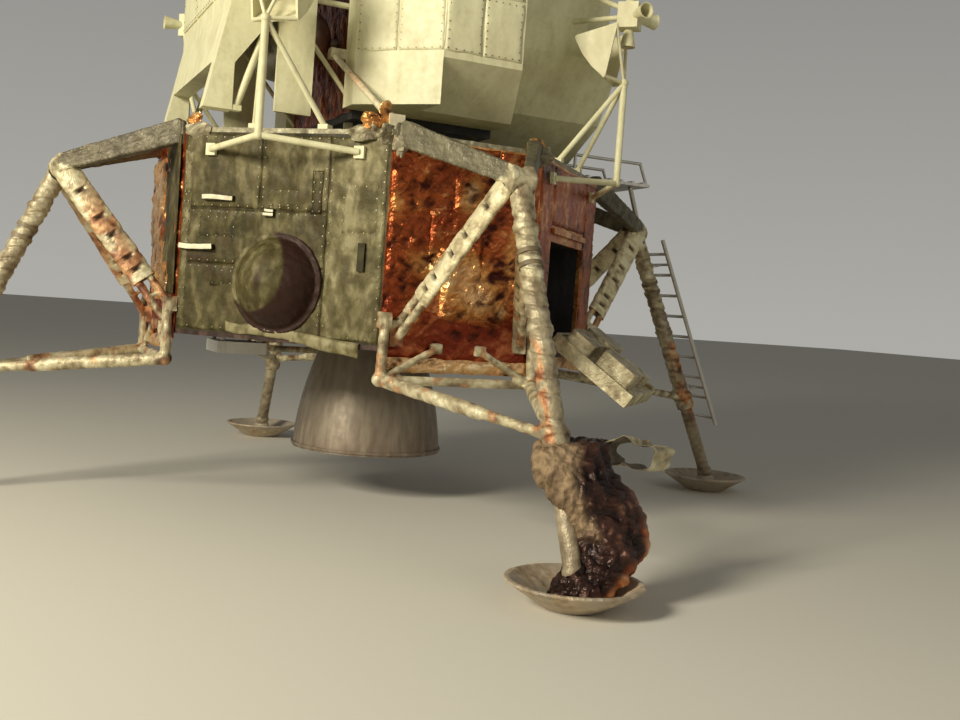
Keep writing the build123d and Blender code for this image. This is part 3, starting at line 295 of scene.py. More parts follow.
def amber_foil(name="amber_foil", covered=True):
    """Crinkled amber foil: zones from deep red by amber to peach, painted shade in fold hollows, painted
    highlight on crests.
    """
    f = Finish(name, metallic=0.82)
    tone = fold_tone(f, covered, 2.4, 11.0, 0.5)
    zone = f.attribute("shade") if covered else f.noise(1.8, 3.0)
    zone = f.sum(zone, f.noise(3.4, 4.0, 0.6), 0.35)
    face = f.ramp(zone, (0.20, (0.24, 0.036, 0.014)), (0.40, (0.40, 0.10, 0.026)),
                  (0.54, (0.68, 0.32, 0.095)), (0.74, (0.86, 0.54, 0.27)))
    glint = f.ramp(zone, (0.22, (0.50, 0.15, 0.06)), (0.46, (0.88, 0.48, 0.17)), (0.72, (0.98, 0.78, 0.50)))
    # Painted shade: the fold hollows go near black
    colour = f.mix(f.ramp(tone, (0.36, 0.0), (0.48, 1.0)), (0.060, 0.012, 0.007), face)
    # Painted highlight: the fold crests take the glint colour
    colour = f.mix(f.ramp(tone, (0.54, 0.0), (0.64, 1.0)), colour, glint)
    return f.wear(colour, f.uneven(20.0, 0.24, 0.44), foil_relief(f))


def pale_foil(name="silver_foil", covered=True, warm=(0.56, 0.49, 0.305), dull=(0.29, 0.23, 0.135)):
    """Crinkled cream foil, with painted shade in its fold hollows and painted highlight on its crests; its
    marks make it grey-green by their shade, red by their glow, tan by their dust and shading and dark by
    their tape and shade."""
    f = Finish(name, metallic=0.30)
    tone = fold_tone(f, covered, 3.0, 18.0, 0.45)
    # Painted shade in the fold hollows and painted highlight on the crests
    colour = f.ramp(tone, (0.28, (0.13, 0.085, 0.045)), (0.41, dull), (0.54, warm),
                    (0.70, (0.86, 0.80, 0.57)))
    if covered:
        grey = f.ramp(tone, (0.26, (0.042, 0.035, 0.018)), (0.46, (0.105, 0.091, 0.052)),
                      (0.70, (0.19, 0.17, 0.10)))
        amber = f.ramp(tone, (0.36, (0.11, 0.028, 0.010)), (0.50, (0.36, 0.13, 0.045)),
                       (0.64, (0.62, 0.33, 0.13)))
        dust_and_shading = f.ramp(tone, (0.3, (0.16, 0.12, 0.075)), (0.6, (0.36, 0.29, 0.19)))
        tape = (0.060, 0.034, 0.020)
        for mark, over in (("shade", grey), ("glow", amber), ("dust_and_shading", dust_and_shading), ("tape_and_shade", tape)):
            colour = f.mix(f.attribute(mark), colour, over)
    return f.wear(colour, f.uneven(14.0, 0.40, 0.60), foil_relief(f))


def dark_foil():
    """Heavy brown foil, painted shade in its fold hollows: tan on one side, and orange painted light low
    down.
    """
    f = Finish("dark_foil", metallic=0.50)
    tone = fold_tone(f, True, 2.2, 9.0, 0.45)
    colour = f.ramp(tone, (0.32, (0.008, 0.004, 0.004)), (0.46, (0.026, 0.010, 0.007)),
                    (0.58, (0.070, 0.028, 0.018)), (0.70, (0.26, 0.12, 0.07)))
    orange = f.ramp(tone, (0.32, (0.16, 0.03, 0.012)), (0.50, (0.42, 0.13, 0.04)), (0.66, (0.72, 0.38, 0.18)))
    # Painted light: orange where the glow mark lies
    colour = f.mix(f.attribute("glow"), colour, orange)
    dust_and_shading_amount = f.mix(1.0, f.attribute("dust_and_shading"), f.ramp(f.noise(9.0, 5.0), (0.30, 0.45), (0.55, 1.0)), "MULTIPLY")
    dust_and_shading = f.ramp(tone, (0.36, (0.10, 0.065, 0.035)), (0.58, (0.34, 0.24, 0.14)))
    colour = f.mix(dust_and_shading_amount, colour, dust_and_shading)
    rough = f.mix(f.attribute("dust_and_shading"), f.uneven(14.0, 0.30, 0.50), (0.72, 0.72, 0.72))
    return f.wear(colour, rough, foil_relief(f, 36.0, 10.0))


def olive_skin():
    """Dull olive-grey panel skin, patched and blotched, turned so that it follows the quad walls."""
    f = Finish("olive_skin", metallic=0.15)
    f.shader.inputs["Specular IOR Level"].default_value = 0.3
    at = f.turned(radians(45), (1.25, 1.25, 0.75))
    blotches = f.sum(f.noise(3.2, 4.0, 0.5, at), f.noise(11.0, 5.0, 0.3, at), 0.42)
    blotches = f.ramp(blotches, (0.40, 0.0), (0.59, 1.0))
    tone = f.sum(blotches, f.attribute("shade"), 0.60)
    colour = f.ramp(tone, (0.14, (0.024, 0.018, 0.003)), (0.32, (0.044, 0.035, 0.007)),
                    (0.48, (0.079, 0.065, 0.021)), (0.64, (0.144, 0.122, 0.052)),
                    (0.84, (0.28, 0.245, 0.130)))
    grime = f.ramp(f.noise(6.0, 6.0, 0.8, at), (0.54, 0.0), (0.70, 0.6))
    colour = f.mix(grime, colour, (0.075, 0.050, 0.020))
    # Painted shade and shadow, from the mark that the quilts and the helium dome store
    colour = f.mix(f.attribute("painted_shade"), colour, (0.030, 0.011, 0.006))
    relief = f.bump(f.noise(24.0, 5.0, 0.6), 0.008, 0.5)
    return f.wear(colour, f.uneven(9.0, 0.46, 0.70), relief)


def painted(name, base, dark, light, rough=(0.45, 0.65), metallic=0.0, soil=None):
    """Matte paint with faint mottling, streaks and a little scuffing."""
    f = Finish(name, metallic=metallic)
    streaks = f.noise(5.0, 4.0, 0.2, f.turned(0.0, (2.2, 2.2, 0.7)))
    tone = f.sum(streaks, f.noise(26.0, 5.0), 0.35)
    colour = f.ramp(tone, (0.30, dark), (0.48, base), (0.68, light))
    if soil:
        spread = f.ramp(f.noise(1.7, 6.0, 0.7), (0.50, 0.0), (0.68, 0.6))
        colour = f.mix(spread, colour, soil)
    relief = f.bump(f.sum(f.noise(3.5, 3.0), f.noise(60.0, 3.0), 0.3), 0.006, 0.45)
    return f.wear(colour, f.uneven(17.0, *rough), relief)


def bare_metal(name, base, spread=0.12, rough=(0.30, 0.48), grain=(60, 60, 4)):
    """Satin metal with a fine drawn grain and handling marks."""
    f = Finish(name, metallic=0.9)
    drawn = f.noise(4.0, 3.0, 0.0, f.turned(0.0, grain))
    marks = f.sum(drawn, f.noise(7.0, 5.0), 0.5)
    dark = tuple(c * (1 - 2 * spread) for c in base)
    light = tuple(min(1.0, c * (1 + spread)) for c in base)
    colour = f.ramp(marks, (0.32, dark), (0.5, base), (0.68, light))
    return f.wear(colour, f.uneven(22.0, *rough), f.bump(drawn, 0.001, 0.35))


def nozzle_metal():
    """Heat-dark bell, greyer at the throat and brown towards the exit."""
    f = Finish("nozzle_metal", metallic=0.45)
    rise = f.ramp(f.height(), (0.45, (0.17, 0.12, 0.085)), (0.9, (0.24, 0.20, 0.15)))
    streaks = f.noise(9.0, 5.0, 0.2, f.turned(0.0, (1.6, 1.6, 0.35)))
    colour = f.mix(f.ramp(streaks, (0.35, 0.0), (0.7, 0.6)), rise, (0.40, 0.34, 0.25))
    return f.wear(colour, f.uneven(14.0, 0.42, 0.62), f.bump(f.noise(40.0, 4.0), 0.003, 0.4))


def window_glass():
    """Slightly smoked pane."""
    f = Finish("window_glass")
    f.shader.inputs["Transmission Weight"].default_value = 0.85
    f.shader.inputs["IOR"].default_value = 1.45
    smears = f.ramp(f.noise(6.0, 5.0, 0.6), (0.3, 0.03), (0.75, 0.14))
    return f.wear(f.uneven(2.0, (0.34, 0.38, 0.40), (0.42, 0.46, 0.46)), smears)


def dusty_foil():
    """Footpad foil under settled dust."""
    f = Finish("footpad_foil", metallic=0.35)
    tone = f.sum(f.attribute("fold"), f.sum(f.noise(3.0, 4.0), f.noise(20.0, 4.0)), 0.55)
    # Painted shade in the fold hollows and painted highlight on the crests, mixed with noise
    foil = f.ramp(tone, (0.30, (0.12, 0.085, 0.055)), (0.46, (0.42, 0.31, 0.19)), (0.66, (0.72, 0.60, 0.42)))
    dust_and_shading = f.ramp(f.noise(5.0, 6.0, 0.3), (0.38, 0.15), (0.58, 0.9))
    colour = f.mix(dust_and_shading, foil, (0.46, 0.40, 0.31))
    return f.wear(colour, f.uneven(11.0, 0.5, 0.85), f.bump(f.noise(30.0, 6.0), 0.006, 0.6))


# The finish of each material slot in the record. The painted ones have a base, a darker and a lighter colour
FINISHES = {
    "olive_skin": olive_skin(),
    "amber_foil": amber_foil("amber_plain", covered=False),
    "cream_skin": painted("cream_skin", (0.72, 0.69, 0.43), (0.60, 0.56, 0.34), (0.80, 0.77, 0.52),
                          soil=(0.56, 0.49, 0.29)),
    "dark_skin": painted("dark_skin", (0.022, 0.020, 0.020), (0.012, 0.011, 0.012), (0.045, 0.040, 0.038),
                         (0.38, 0.6)),
    "silver_foil": pale_foil("silver_plain", covered=False),
    "dark_foil": dark_foil(),
    "bare_alloy": bare_metal("bare_alloy", (0.60, 0.58, 0.53)),
    "nozzle_metal": nozzle_metal(),
    "dish_white": painted("dish_white", (0.78, 0.77, 0.72), (0.64, 0.62, 0.57), (0.84, 0.83, 0.79)),
    "cabin_paint": painted("cabin_paint", (0.33, 0.36, 0.34), (0.25, 0.27, 0.26), (0.40, 0.43, 0.41)),
    "window_glass": window_glass(),
    "titanium": bare_metal("titanium", (0.46, 0.45, 0.42), 0.16, (0.34, 0.5)),
    "cask_coat": painted("cask_coat", (0.13, 0.13, 0.135), (0.085, 0.085, 0.09), (0.19, 0.19, 0.19)),
}
# Finishes of the pieces that are made here, and of three nodes that differ from their slot
AMBER_SHEET = amber_foil()
PALE_SHEET = pale_foil()
SLEEVE_SHEET = pale_foil("sleeve_foil", warm=(0.82, 0.75, 0.47), dull=(0.52, 0.44, 0.26))
STAND_COAT = painted("stand_coat", (0.62, 0.55, 0.36), (0.36, 0.28, 0.17), (0.80, 0.74, 0.52),
                     soil=(0.42, 0.12, 0.035))
FOOTPAD_FOIL = dusty_foil()
SHIELD_SHEET = painted("shield_sheet", (0.050, 0.028, 0.022), (0.020, 0.012, 0.010), (0.12, 0.075, 0.055),
                       (0.30, 0.5), 0.5)
DARK_TAPE = painted("dark_tape", (0.17, 0.125, 0.065), (0.09, 0.062, 0.03), (0.28, 0.22, 0.12))
CREAM_TAPE = painted("cream_tape", (0.70, 0.65, 0.46), (0.48, 0.41, 0.28), (0.80, 0.76, 0.58))
STUD_METAL = bare_metal("stud_metal", (0.26, 0.235, 0.16), 0.14, (0.4, 0.6), (20, 20, 20))
DECK_SHEET = pale_foil("deck_sheet", covered=False, warm=(0.30, 0.27, 0.17), dull=(0.17, 0.145, 0.085))


def dress_nodes():
    """Gives every rigid node its own finish or that of its material slot in the record."""
    own = {"interstage_fittings": STAND_COAT, "base_heat_shield": SHIELD_SHEET, "top_deck": DECK_SHEET}
    for part in frame["record"]["subparts"]:
        name = part["node"]
        materials = nodes[name].data.materials
        materials.clear()
        materials.append(own.get(name, FINISHES[part["material_slot"]]))


# Crumpled foil

def triangle_wave(x):
    """Folded-paper profile: straight slopes between -1 and 1."""
    return 4 * np.abs(x - np.floor(x + 0.5)) - 1


def unit(rng):
    """Random way of length 1."""
    way = rng.normal(size=3)
    return way / np.linalg.norm(way)


def creases(points, size, seed):
    """Crumple height from about -1 to 1: straight folds that cross in many directions."""
    rng = np.random.default_rng(seed)
    bent = points.copy()
    for _ in range(3):
        swing = np.sin(points @ unit(rng) * (2 * pi / (size * 2.6)) + rng.uniform(0, 2 * pi))
        bent += np.outer(swing, unit(rng)) * size * 0.2
    waves = []
    for _ in range(6):
        waves.append(triangle_wave(bent @ unit(rng) / (size * rng.uniform(0.8, 1.9)) + rng.uniform()))
    ridge = np.maximum(waves[0], waves[1])
    valley = np.minimum(waves[2], waves[3])
    return (ridge + valley) * 0.5 + waves[4] * 0.3 + waves[5] * 0.2


# Shares of the large, the middle and the small creases in crumpled foil
CREASE_SHARES = (0.42, 0.36, 0.22)


def crumple(points, seed, *sizes):
    """Three sizes of creases together, from about -1 to 1."""
    height = 0
    for k, size in enumerate(sizes):
        height = height + creases(points, size, seed + k) * CREASE_SHARES[k]
    return height


def folds(seed, *sizes):
    """The same as a function of the points alone."""
    return lambda points: crumple(points, seed, *sizes)


def ease(low, high, value):
    """Goes smoothly from 0 at the low value to 1 at the high one."""
    share = np.clip((value - low) / (high - low), 0, 1)
    return share * share * (3 - 2 * share)


def spots(across, rise, table):
    """Sum of soft spots; each row is its place across and up, its half sizes and its strength."""
    total = np.zeros(len(across))
    for middle, level, half_width, half_height, strength in table:
        aside = (across - middle) / half_width
        above = (rise - level) / half_height
        total += strength * np.exp(-aside ** 2 - above ** 2)
    return total


def store(mesh, name, values):
    """Keeps one number for each point, which a finish can read."""
    layer = mesh.attributes.new(name, "FLOAT", "POINT")
    layer.data.foreach_set("value", np.asarray(values, np.float32))


def rows_of(items, title):
    """The three numbers that each of a mesh's items has under a title."""
    flat = np.zeros(len(items) * 3, np.float32)
    items.foreach_get(title, flat)
    return flat.reshape(-1, 3).astype(float)


def new_piece(name, mesh, material=None, body="lander", smooth=False):
    """A visual piece on one of the bodies."""
    piece = bpy.data.objects.new(name, mesh)
    scene.collection.objects.link(piece)
    if material:
        mesh.materials.clear()
        mesh.materials.append(material)
    mesh.polygons.foreach_set("use_smooth", np.full(len(mesh.polygons), smooth))
    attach(piece, body)
    return piece


def formed(name, parts):
    """Mesh of several forms; each is its points, its faces and its marks, which hold one number a point."""
    faces = []
    start = 0
    for points, sheet, _ in parts:
        faces += [[start + corner for corner in face] for face in sheet]
        start += len(points)
    mesh = bpy.data.meshes.new(name)
    mesh.from_pydata(np.vstack([points for points, _, _ in parts]).tolist(), [], faces)
    for mark in parts[0][2]:
        store(mesh, mark, np.concatenate([marks[mark] for _, _, marks in parts]))
    return mesh


def baked(obj):
    """The object's mesh with its modifiers carried out; the object itself is removed."""
    graph = bpy.context.evaluated_depsgraph_get()
    mesh = bpy.data.meshes.new_from_object(obj.evaluated_get(graph))
    mesh.name = obj.name + "_mesh"
    bpy.data.objects.remove(obj)
    return mesh


def changed(mesh, change):
    """The same mesh after one change of its form."""
    work = bmesh.new()
    work.from_mesh(mesh)
    change(work)
    work.to_mesh(mesh)
    work.free()
    return mesh


def joined_copy(node):
    """Copy of a rigid node's mesh with its loose triangles joined."""
    return changed(nodes[node].data.copy(),
                   lambda work: bmesh.ops.remove_doubles(work, verts=work.verts, dist=1e-5))


def faced_outward(mesh):
    """Turns all faces of closed meshes outward."""
    return changed(mesh, lambda work: bmesh.ops.recalc_face_normals(work, faces=work.faces))


def foil_cover(node, material, voxel, depth, seed, share, sizes, pinch=None, marks=None, smooth=False):
    """Crumpled covering that stands for a rigid node; pinch draws it in and marks colours it."""
    obj = bpy.data.objects.new(node + "_even", joined_copy(node))
    scene.collection.objects.link(obj)
    remesh = obj.modifiers.new("even_mesh", "REMESH")
    remesh.mode = "VOXEL"
    remesh.voxel_size = voxel
    mesh = baked(obj)
    places = rows_of(mesh.vertices, "co")
    offset = crumple(places, seed, *sizes) * depth
    if pinch:
        offset = offset - pinch(places)
    moved = places + rows_of(mesh.vertex_normals, "vector") * offset[:, None]
    moved[:, 2] = np.maximum(moved[:, 2], 0.0)
    mesh.vertices.foreach_set("co", moved.astype(np.float32).ravel())
    mesh.update()
    obj = bpy.data.objects.new(node + "_folds", mesh)
    scene.collection.objects.link(obj)
    thin = obj.modifiers.new("fewer_faces", "DECIMATE")
    thin.ratio = share
    mesh = baked(obj)
    places = rows_of(mesh.vertices, "co")
    store(mesh, "fold", crumple(places, seed, *sizes) * 0.5 + 0.5)
    if marks:
        for name, values in marks(places).items():
            store(mesh, name, values)
    piece = new_piece(node + "_cover", mesh, material, smooth=smooth)
    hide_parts(node)


class Wall:
    """A flat upright wall: a place at its foot, its way to the left as seen from outside, and its way out."""

    def __init__(self, base, side):
        self.base = np.array(base, float)
        self.side = np.array(side, float) / np.linalg.norm(side)
        self.out = np.cross(RISE, self.side)

    def spot(self, across, rise, out):
        """Point across and up the wall, and out from it."""
        return self.base + self.side * across + RISE * rise + self.out * out

    def face(self, places):
        """Points on the wall, from rows of their places across and up."""
        return self.base + np.outer(places[:, 0], self.side) + np.outer(places[:, 1], RISE)


def outer_wall(angle, radius):
    """Wall of the eight-sided body that faces away from the middle at an angle from +Y."""
    turn = radians(angle)
    return Wall((-sin(turn) * radius, cos(turn) * radius, 0), (cos(turn), sin(turn), 0))


def plan_wall(right, left):
    """Upright wall between two places in plan, given right and left as seen from outside."""
    return Wall((*right, 0), (left[0] - right[0], left[1] - right[1], 0))


def upright(right, left, low, high):
    """Corners of an upright patch, counter-clockwise from outside; left is its greater place across."""
    return (left, low), (right, low), (right, high), (left, high)


# How a slab of foil is laid: its grid is shaken by a share of its cells and its edges waver in folds of their
# own size. It rises from a share of its height to the whole over the width of its edge, its folds are a share
# of that height, and its back lies behind the wall's face
GRID_SHAKE = 0.3
WAVER_DEPTH = 0.010
WAVER_SIZE = 0.25
EDGE_HEIGHT = 0.35
EDGE_WIDTH = 0.035
FOLD_HEIGHT = 1.1
BACK_DEPTH = 0.004


def slab(wall, corners, proud, cell, relief, seed, out):
    """Points, faces, places on the wall and fold heights of one closed crumpled slab."""
    a, b, c, d = (np.array(corner) for corner in corners)
    width = np.linalg.norm(b - a)
    length = np.linalg.norm(d - a)
    across = max(2, round(float(width) / cell))
    along = max(2, round(float(length) / cell))
    grids = np.meshgrid(np.linspace(0, 1, across + 1), np.linspace(0, 1, along + 1))
    s, t = (grid.ravel()[:, None] for grid in grids)
    place = (1 - t) * ((1 - s) * a + s * b) + t * ((1 - s) * d + s * c)
    edge = np.minimum(np.minimum(s, 1 - s) * width, np.minimum(t, 1 - t) * length).ravel()
    rng = np.random.default_rng(seed)
    inside = (edge > cell * 0.5)[:, None]
    place = place + rng.uniform(-GRID_SHAKE, GRID_SHAKE, place.shape) * cell * inside
    flat = wall.face(place)
    waver = [creases(flat, WAVER_SIZE, seed + 50), creases(flat, WAVER_SIZE, seed + 60)]
    place = place + np.stack(waver, 1) * WAVER_DEPTH
    flat = wall.face(place)
    height = relief(flat)
    fade = np.clip(edge / EDGE_WIDTH, 0, 1)
    lift = out + proud * (EDGE_HEIGHT + (1 - EDGE_HEIGHT) * fade) + height * proud * FOLD_HEIGHT * fade
    front = flat + np.outer(lift, wall.out)
    row = across + 1
    count = row * (along + 1)
    index = np.arange(count).reshape(along + 1, row)
    cells = [index[:-1, :-1], index[:-1, 1:], index[1:, 1:], index[1:, :-1]]
    faces = np.stack(cells, -1).reshape(-1, 4).tolist()
    rim = list(index[0, :-1]) + list(index[:-1, -1]) + list(index[-1, :0:-1]) + list(index[:0:-1, 0])
    back = flat[rim] + wall.out * (out - BACK_DEPTH)
    for k in range(len(rim)):
        after = (k + 1) % len(rim)
        faces.append([rim[k], count + k, count + after, rim[after]])
    faces.append([count + k for k in reversed(range(len(rim)))])
    height = np.concatenate([height, height[rim]])
    return np.vstack([front, back]), faces, np.vstack([place, place[rim]]), height


def quilt(name, wall, patches, material, relief, seed, cell=0.014, smooth=False, tints=(), painted_shades=()):
    """One piece of crumpled slabs; each patch is its corners, how proud it is, its shade and its offset."""
    parts = []
    for k, (corners, proud, shade, out) in enumerate(patches):
        points, faces, place, fold = slab(wall, corners, proud, cell, relief, seed * 100 + k, out)
        parts.append((points, faces, {
            "fold": fold * 0.5 + 0.5,
            "shade": np.clip(shade + spots(place[:, 0], place[:, 1], tints), 0, 1),
            # Painted shade: dark spots from the table of painted shade
            "painted_shade": np.clip(spots(place[:, 0], place[:, 1], painted_shades), 0, 1),
        }))
    new_piece(name, formed(name, parts), material, smooth=smooth)


def closed_band(outside, inside):
    """Points and faces of a band of foil that closes on itself, from the points of its two faces."""
    grid = np.concatenate([outside, inside[::-1]])
    index = np.arange(grid.shape[0] * grid.shape[1]).reshape(grid.shape[:2])
    below = np.roll(index, -1, 0)
    faces = np.stack([index, np.roll(index, -1, 1), np.roll(below, -1, 1), below], -1)
    return grid.reshape(-1, 3), faces.reshape(-1, 4).tolist()


def both_faces(values):
    """One number for each point of a closed band, from the numbers of its outer face."""
    return np.concatenate([values, values[::-1]]).ravel()


# Folds and bend of a lump of foil, as shares of its size, and its shade
LUMP_FOLDS = 0.42
LUMP_BEND = 0.35
LUMP_SHADE = 0.55


def lump(centre, radii, turn, seed):
    """Crumpled closed lump of foil: its points, its faces and its marks."""
    work = bmesh.new()
    bmesh.ops.create_icosphere(work, subdivisions=4, radius=1)
    ball = np.array([vert.co[:] for vert in work.verts])
    faces = [[vert.index for vert in face.verts] for face in work.faces]
    work.free()
    size = np.array(radii)
    largest = float(size.max())
    height = crumple(ball * size, seed, largest * 1.1, largest * 0.6, largest * 0.3)
    points = ball * size * (1 + LUMP_FOLDS * height)[:, None]
    points[:, 0] += creases(ball * size * (0, 1, 1), largest * 1.3, seed + 9) * largest * LUMP_BEND
    marks = {"fold": height * 0.5 + 0.5, "shade": np.full(len(points), LUMP_SHADE)}
    return points @ np.array(turn).T + centre, faces, marks


def lumps(name, rows, material, body="lander"):
    """One piece made of several lumps of foil; each row is a centre, its radii, its turn and a seed."""
    mesh = formed(name, [lump(*row) for row in rows])
    new_piece(name, faced_outward(mesh), material, body)


# Studs and tape rings, by one tree of nodes

def stud_tree():
    """Puts a short cylinder on every point of a mesh, standing along that point's own way."""
    tree = bpy.data.node_groups.new("studs", "GeometryNodeTree")
    face = tree.interface
    face.new_socket("Geometry", in_out="INPUT", socket_type="NodeSocketGeometry")
    sockets = {}
    for title, kind in (("Sides", "Int"), ("Radius", "Float"), ("Height", "Float"), ("Material", "Material")):
        socket = face.new_socket(title, in_out="INPUT", socket_type="NodeSocket" + kind)
        sockets[title] = socket.identifier
    face.new_socket("Geometry", in_out="OUTPUT", socket_type="NodeSocketGeometry")
    given = tree.nodes.new("NodeGroupInput")
    result = tree.nodes.new("NodeGroupOutput")
    way = tree.nodes.new("GeometryNodeInputNamedAttribute")
    way.data_type = "FLOAT_VECTOR"
    way.inputs["Name"].default_value = "way"
    turn = tree.nodes.new("FunctionNodeAlignRotationToVector")
    turn.axis = "Z"
    stud = tree.nodes.new("GeometryNodeMeshCylinder")
    spread = tree.nodes.new("GeometryNodeInstanceOnPoints")
    real = tree.nodes.new("GeometryNodeRealizeInstances")
    paint = tree.nodes.new("GeometryNodeSetMaterial")
    link = tree.links.new
    link(given.outputs["Sides"], stud.inputs["Vertices"])
    link(given.outputs["Radius"], stud.inputs["Radius"])
    link(given.outputs["Height"], stud.inputs["Depth"])
    link(given.outputs["Geometry"], spread.inputs["Points"])
    link(stud.outputs["Mesh"], spread.inputs["Instance"])
    link(way.outputs[0], turn.inputs["Vector"])
    link(turn.outputs[0], spread.inputs["Rotation"])
    link(spread.outputs[0], real.inputs[0])
    link(real.outputs[0], paint.inputs["Geometry"])
    link(given.outputs["Material"], paint.inputs["Material"])
    link(paint.outputs[0], result.inputs[0])
    return tree, sockets


STUD_TREE, STUD_SOCKETS = stud_tree()


def studs(name, points, ways, radius, height, material=STUD_METAL, sides=8):
    """One piece of equal cylinders on given points."""
    mesh = bpy.data.meshes.new(name + "_points")
    mesh.from_pydata([tuple(point) for point in points], [], [])
    layer = mesh.attributes.new("way", "FLOAT_VECTOR", "POINT")
    layer.data.foreach_set("vector", np.asarray(ways, np.float32).ravel())
    obj = bpy.data.objects.new(name + "_points", mesh)
    scene.collection.objects.link(obj)
    modifier = obj.modifiers.new("studs", "NODES")
    modifier.node_group = STUD_TREE
    for title, value in (("Sides", sides), ("Radius", radius), ("Height", height), ("Material", material)):
        modifier[STUD_SOCKETS[title]] = value
    new_piece(name, baked(obj))


def rivets(name, seams, radius, height):
    """One piece of rivets; each seam is a wall, its lines by their two ends, their spacing and its offset."""
    points, ways = [], []
    for wall, lines, spacing, out in seams:
        for (u0, z0), (u1, z1) in lines:
            count = max(1, round(sqrt((u1 - u0) ** 2 + (z1 - z0) ** 2) / spacing))
            for k in range(count + 1):
                share = k / count
                points.append(wall.spot(u0 + (u1 - u0) * share, z0 + (z1 - z0) * share, out))
                ways.append(wall.out)
    studs(name, points, ways, radius, height)


# How far a panel's rivets stand inside its edge
RIVET_INSET = 0.022


def seam_lines(right, left, low, high):
    """The four lines of rivets just inside a rectangle's edge."""
    right, left = right + RIVET_INSET, left - RIVET_INSET
    low, high = low + RIVET_INSET, high - RIVET_INSET
    return (((right, low), (left, low)), ((right, high), (left, high)),
            ((right, low), (right, high)), ((left, low), (left, high)))


# Descent stage walls

# Painted highlights and reflections on the blanket behind the starboard leg: across, up, half width, half
# height, change of shade
END_WALL_HIGHLIGHTS = (
    (-0.02, 2.84, 0.09, 0.14, 0.50),
    (-0.05, 2.91, 0.035, 0.035, 0.50),
    (0.30, 2.26, 0.19, 0.14, 0.46),
    (-0.06, 2.20, 0.20, 0.18, 0.52),
    (-0.18, 1.98, 0.22, 0.12, 0.52),
    (-0.12, 2.01, 0.04, 0.03, 0.40),
    (-0.38, 1.88, 0.06, 0.05, 0.50),
    (-0.45, 2.35, 0.08, 0.30, 0.28),
    (0.44, 1.84, 0.11, 0.14, 0.42),
    (0.62, 2.75, 0.05, 0.16, 0.20),
)
# Overlapping blanket patches of every end wall: corners from the low left, proud, shade, offset
END_WALL_PATCHES = (
    (((0.672, 2.62), (0.10, 2.70), (0.08, 3.245), (0.672, 3.245)), 0.029, 0.24, 0.0),
    (((0.12, 2.66), (-0.30, 2.60), (-0.28, 3.245), (0.14, 3.245)), 0.035, 0.28, 0.004),
    (((-0.26, 2.58), (-0.672, 2.52), (-0.672, 3.245), (-0.30, 3.245)), 0.029, 0.22, 0.0),
    (((0.672, 2.14), (0.28, 2.08), (0.30, 2.68), (0.672, 2.66)), 0.032, 0.20, 0.004),
    (((0.32, 2.10), (-0.18, 2.12), (-0.16, 2.72), (0.32, 2.70)), 0.041, 0.24, 0.008),
    (((-0.14, 2.06), (-0.672, 2.02), (-0.672, 2.60), (-0.16, 2.66)), 0.032, 0.26, 0.0),
    (((0.672, 1.80), (0.16, 1.84), (0.18, 2.18), (0.672, 2.20)), 0.029, 0.16, 0.0),
    (((0.20, 1.80), (-0.40, 1.76), (-0.42, 2.16), (0.20, 2.18)), 0.046, 0.30, 0.010),
    (((-0.36, 1.78), (-0.672, 1.82), (-0.672, 2.10), (-0.38, 2.14)), 0.029, 0.22, 0.0),
    (((0.672, 1.47), (-0.672, 1.47), (-0.672, 1.86), (0.672, 1.86)), 0.020, 0.04, 0.012),
    (((0.64, 1.355), (-0.66, 1.365), (-0.67, 1.485), (0.65, 1.475)), 0.032, 0.92, 0.026),
)


def end_wall_blankets():
    """Crinkled amber blankets on the four walls behind the legs, smooth and red low down, with a pale lip and
    painted highlights.
    """
    for k, (name, angle) in enumerate(LEG_ANGLES.items()):
        quilt(f"end_wall_foil_{name}", outer_wall(angle, REACH), END_WALL_PATCHES, AMBER_SHEET,
              folds(40 + 7 * k, 0.34, 0.13, 0.05), seed=k + 1, tints=END_WALL_HIGHLIGHTS)


# Sizes of the folds in panel skins and of the mesh that carries them, and the spacing of the panels' rivets
PANEL_FOLDS = (0.42, 0.17, 0.06)
PANEL_CELL = 0.018
PANEL_RIVET_SPACING = 0.085


def rear_wall_strips():
    """Olive skin on the near half of the rear wall and a pale strip on its far half."""
    wall = outer_wall(LEG_ANGLES["rear"], REACH)
    near = [(upright(-0.676, -0.04, 2.0, 3.24), 0.012, 0.34, 0.040),
            (upright(-0.676, -0.20, 1.86, 2.02), 0.012, 0.20, 0.040)]
    far = [(upright(0.02, 0.66, 2.30, 3.10), 0.022, 0.5, 0.040),
           (upright(0.0, 0.60, 1.80, 2.34), 0.022, 0.5, 0.036)]
    quilt("rear_wall_skin", wall, near, FINISHES["olive_skin"], folds(441, *PANEL_FOLDS),
          seed=81, cell=PANEL_CELL, smooth=True)
    quilt("rear_wall_strip", wall, far, AMBER_SHEET, folds(442, 0.28, 0.11, 0.045),
          seed=82, tints=((0.33, 2.4, 0.5, 0.8, 0.35),))


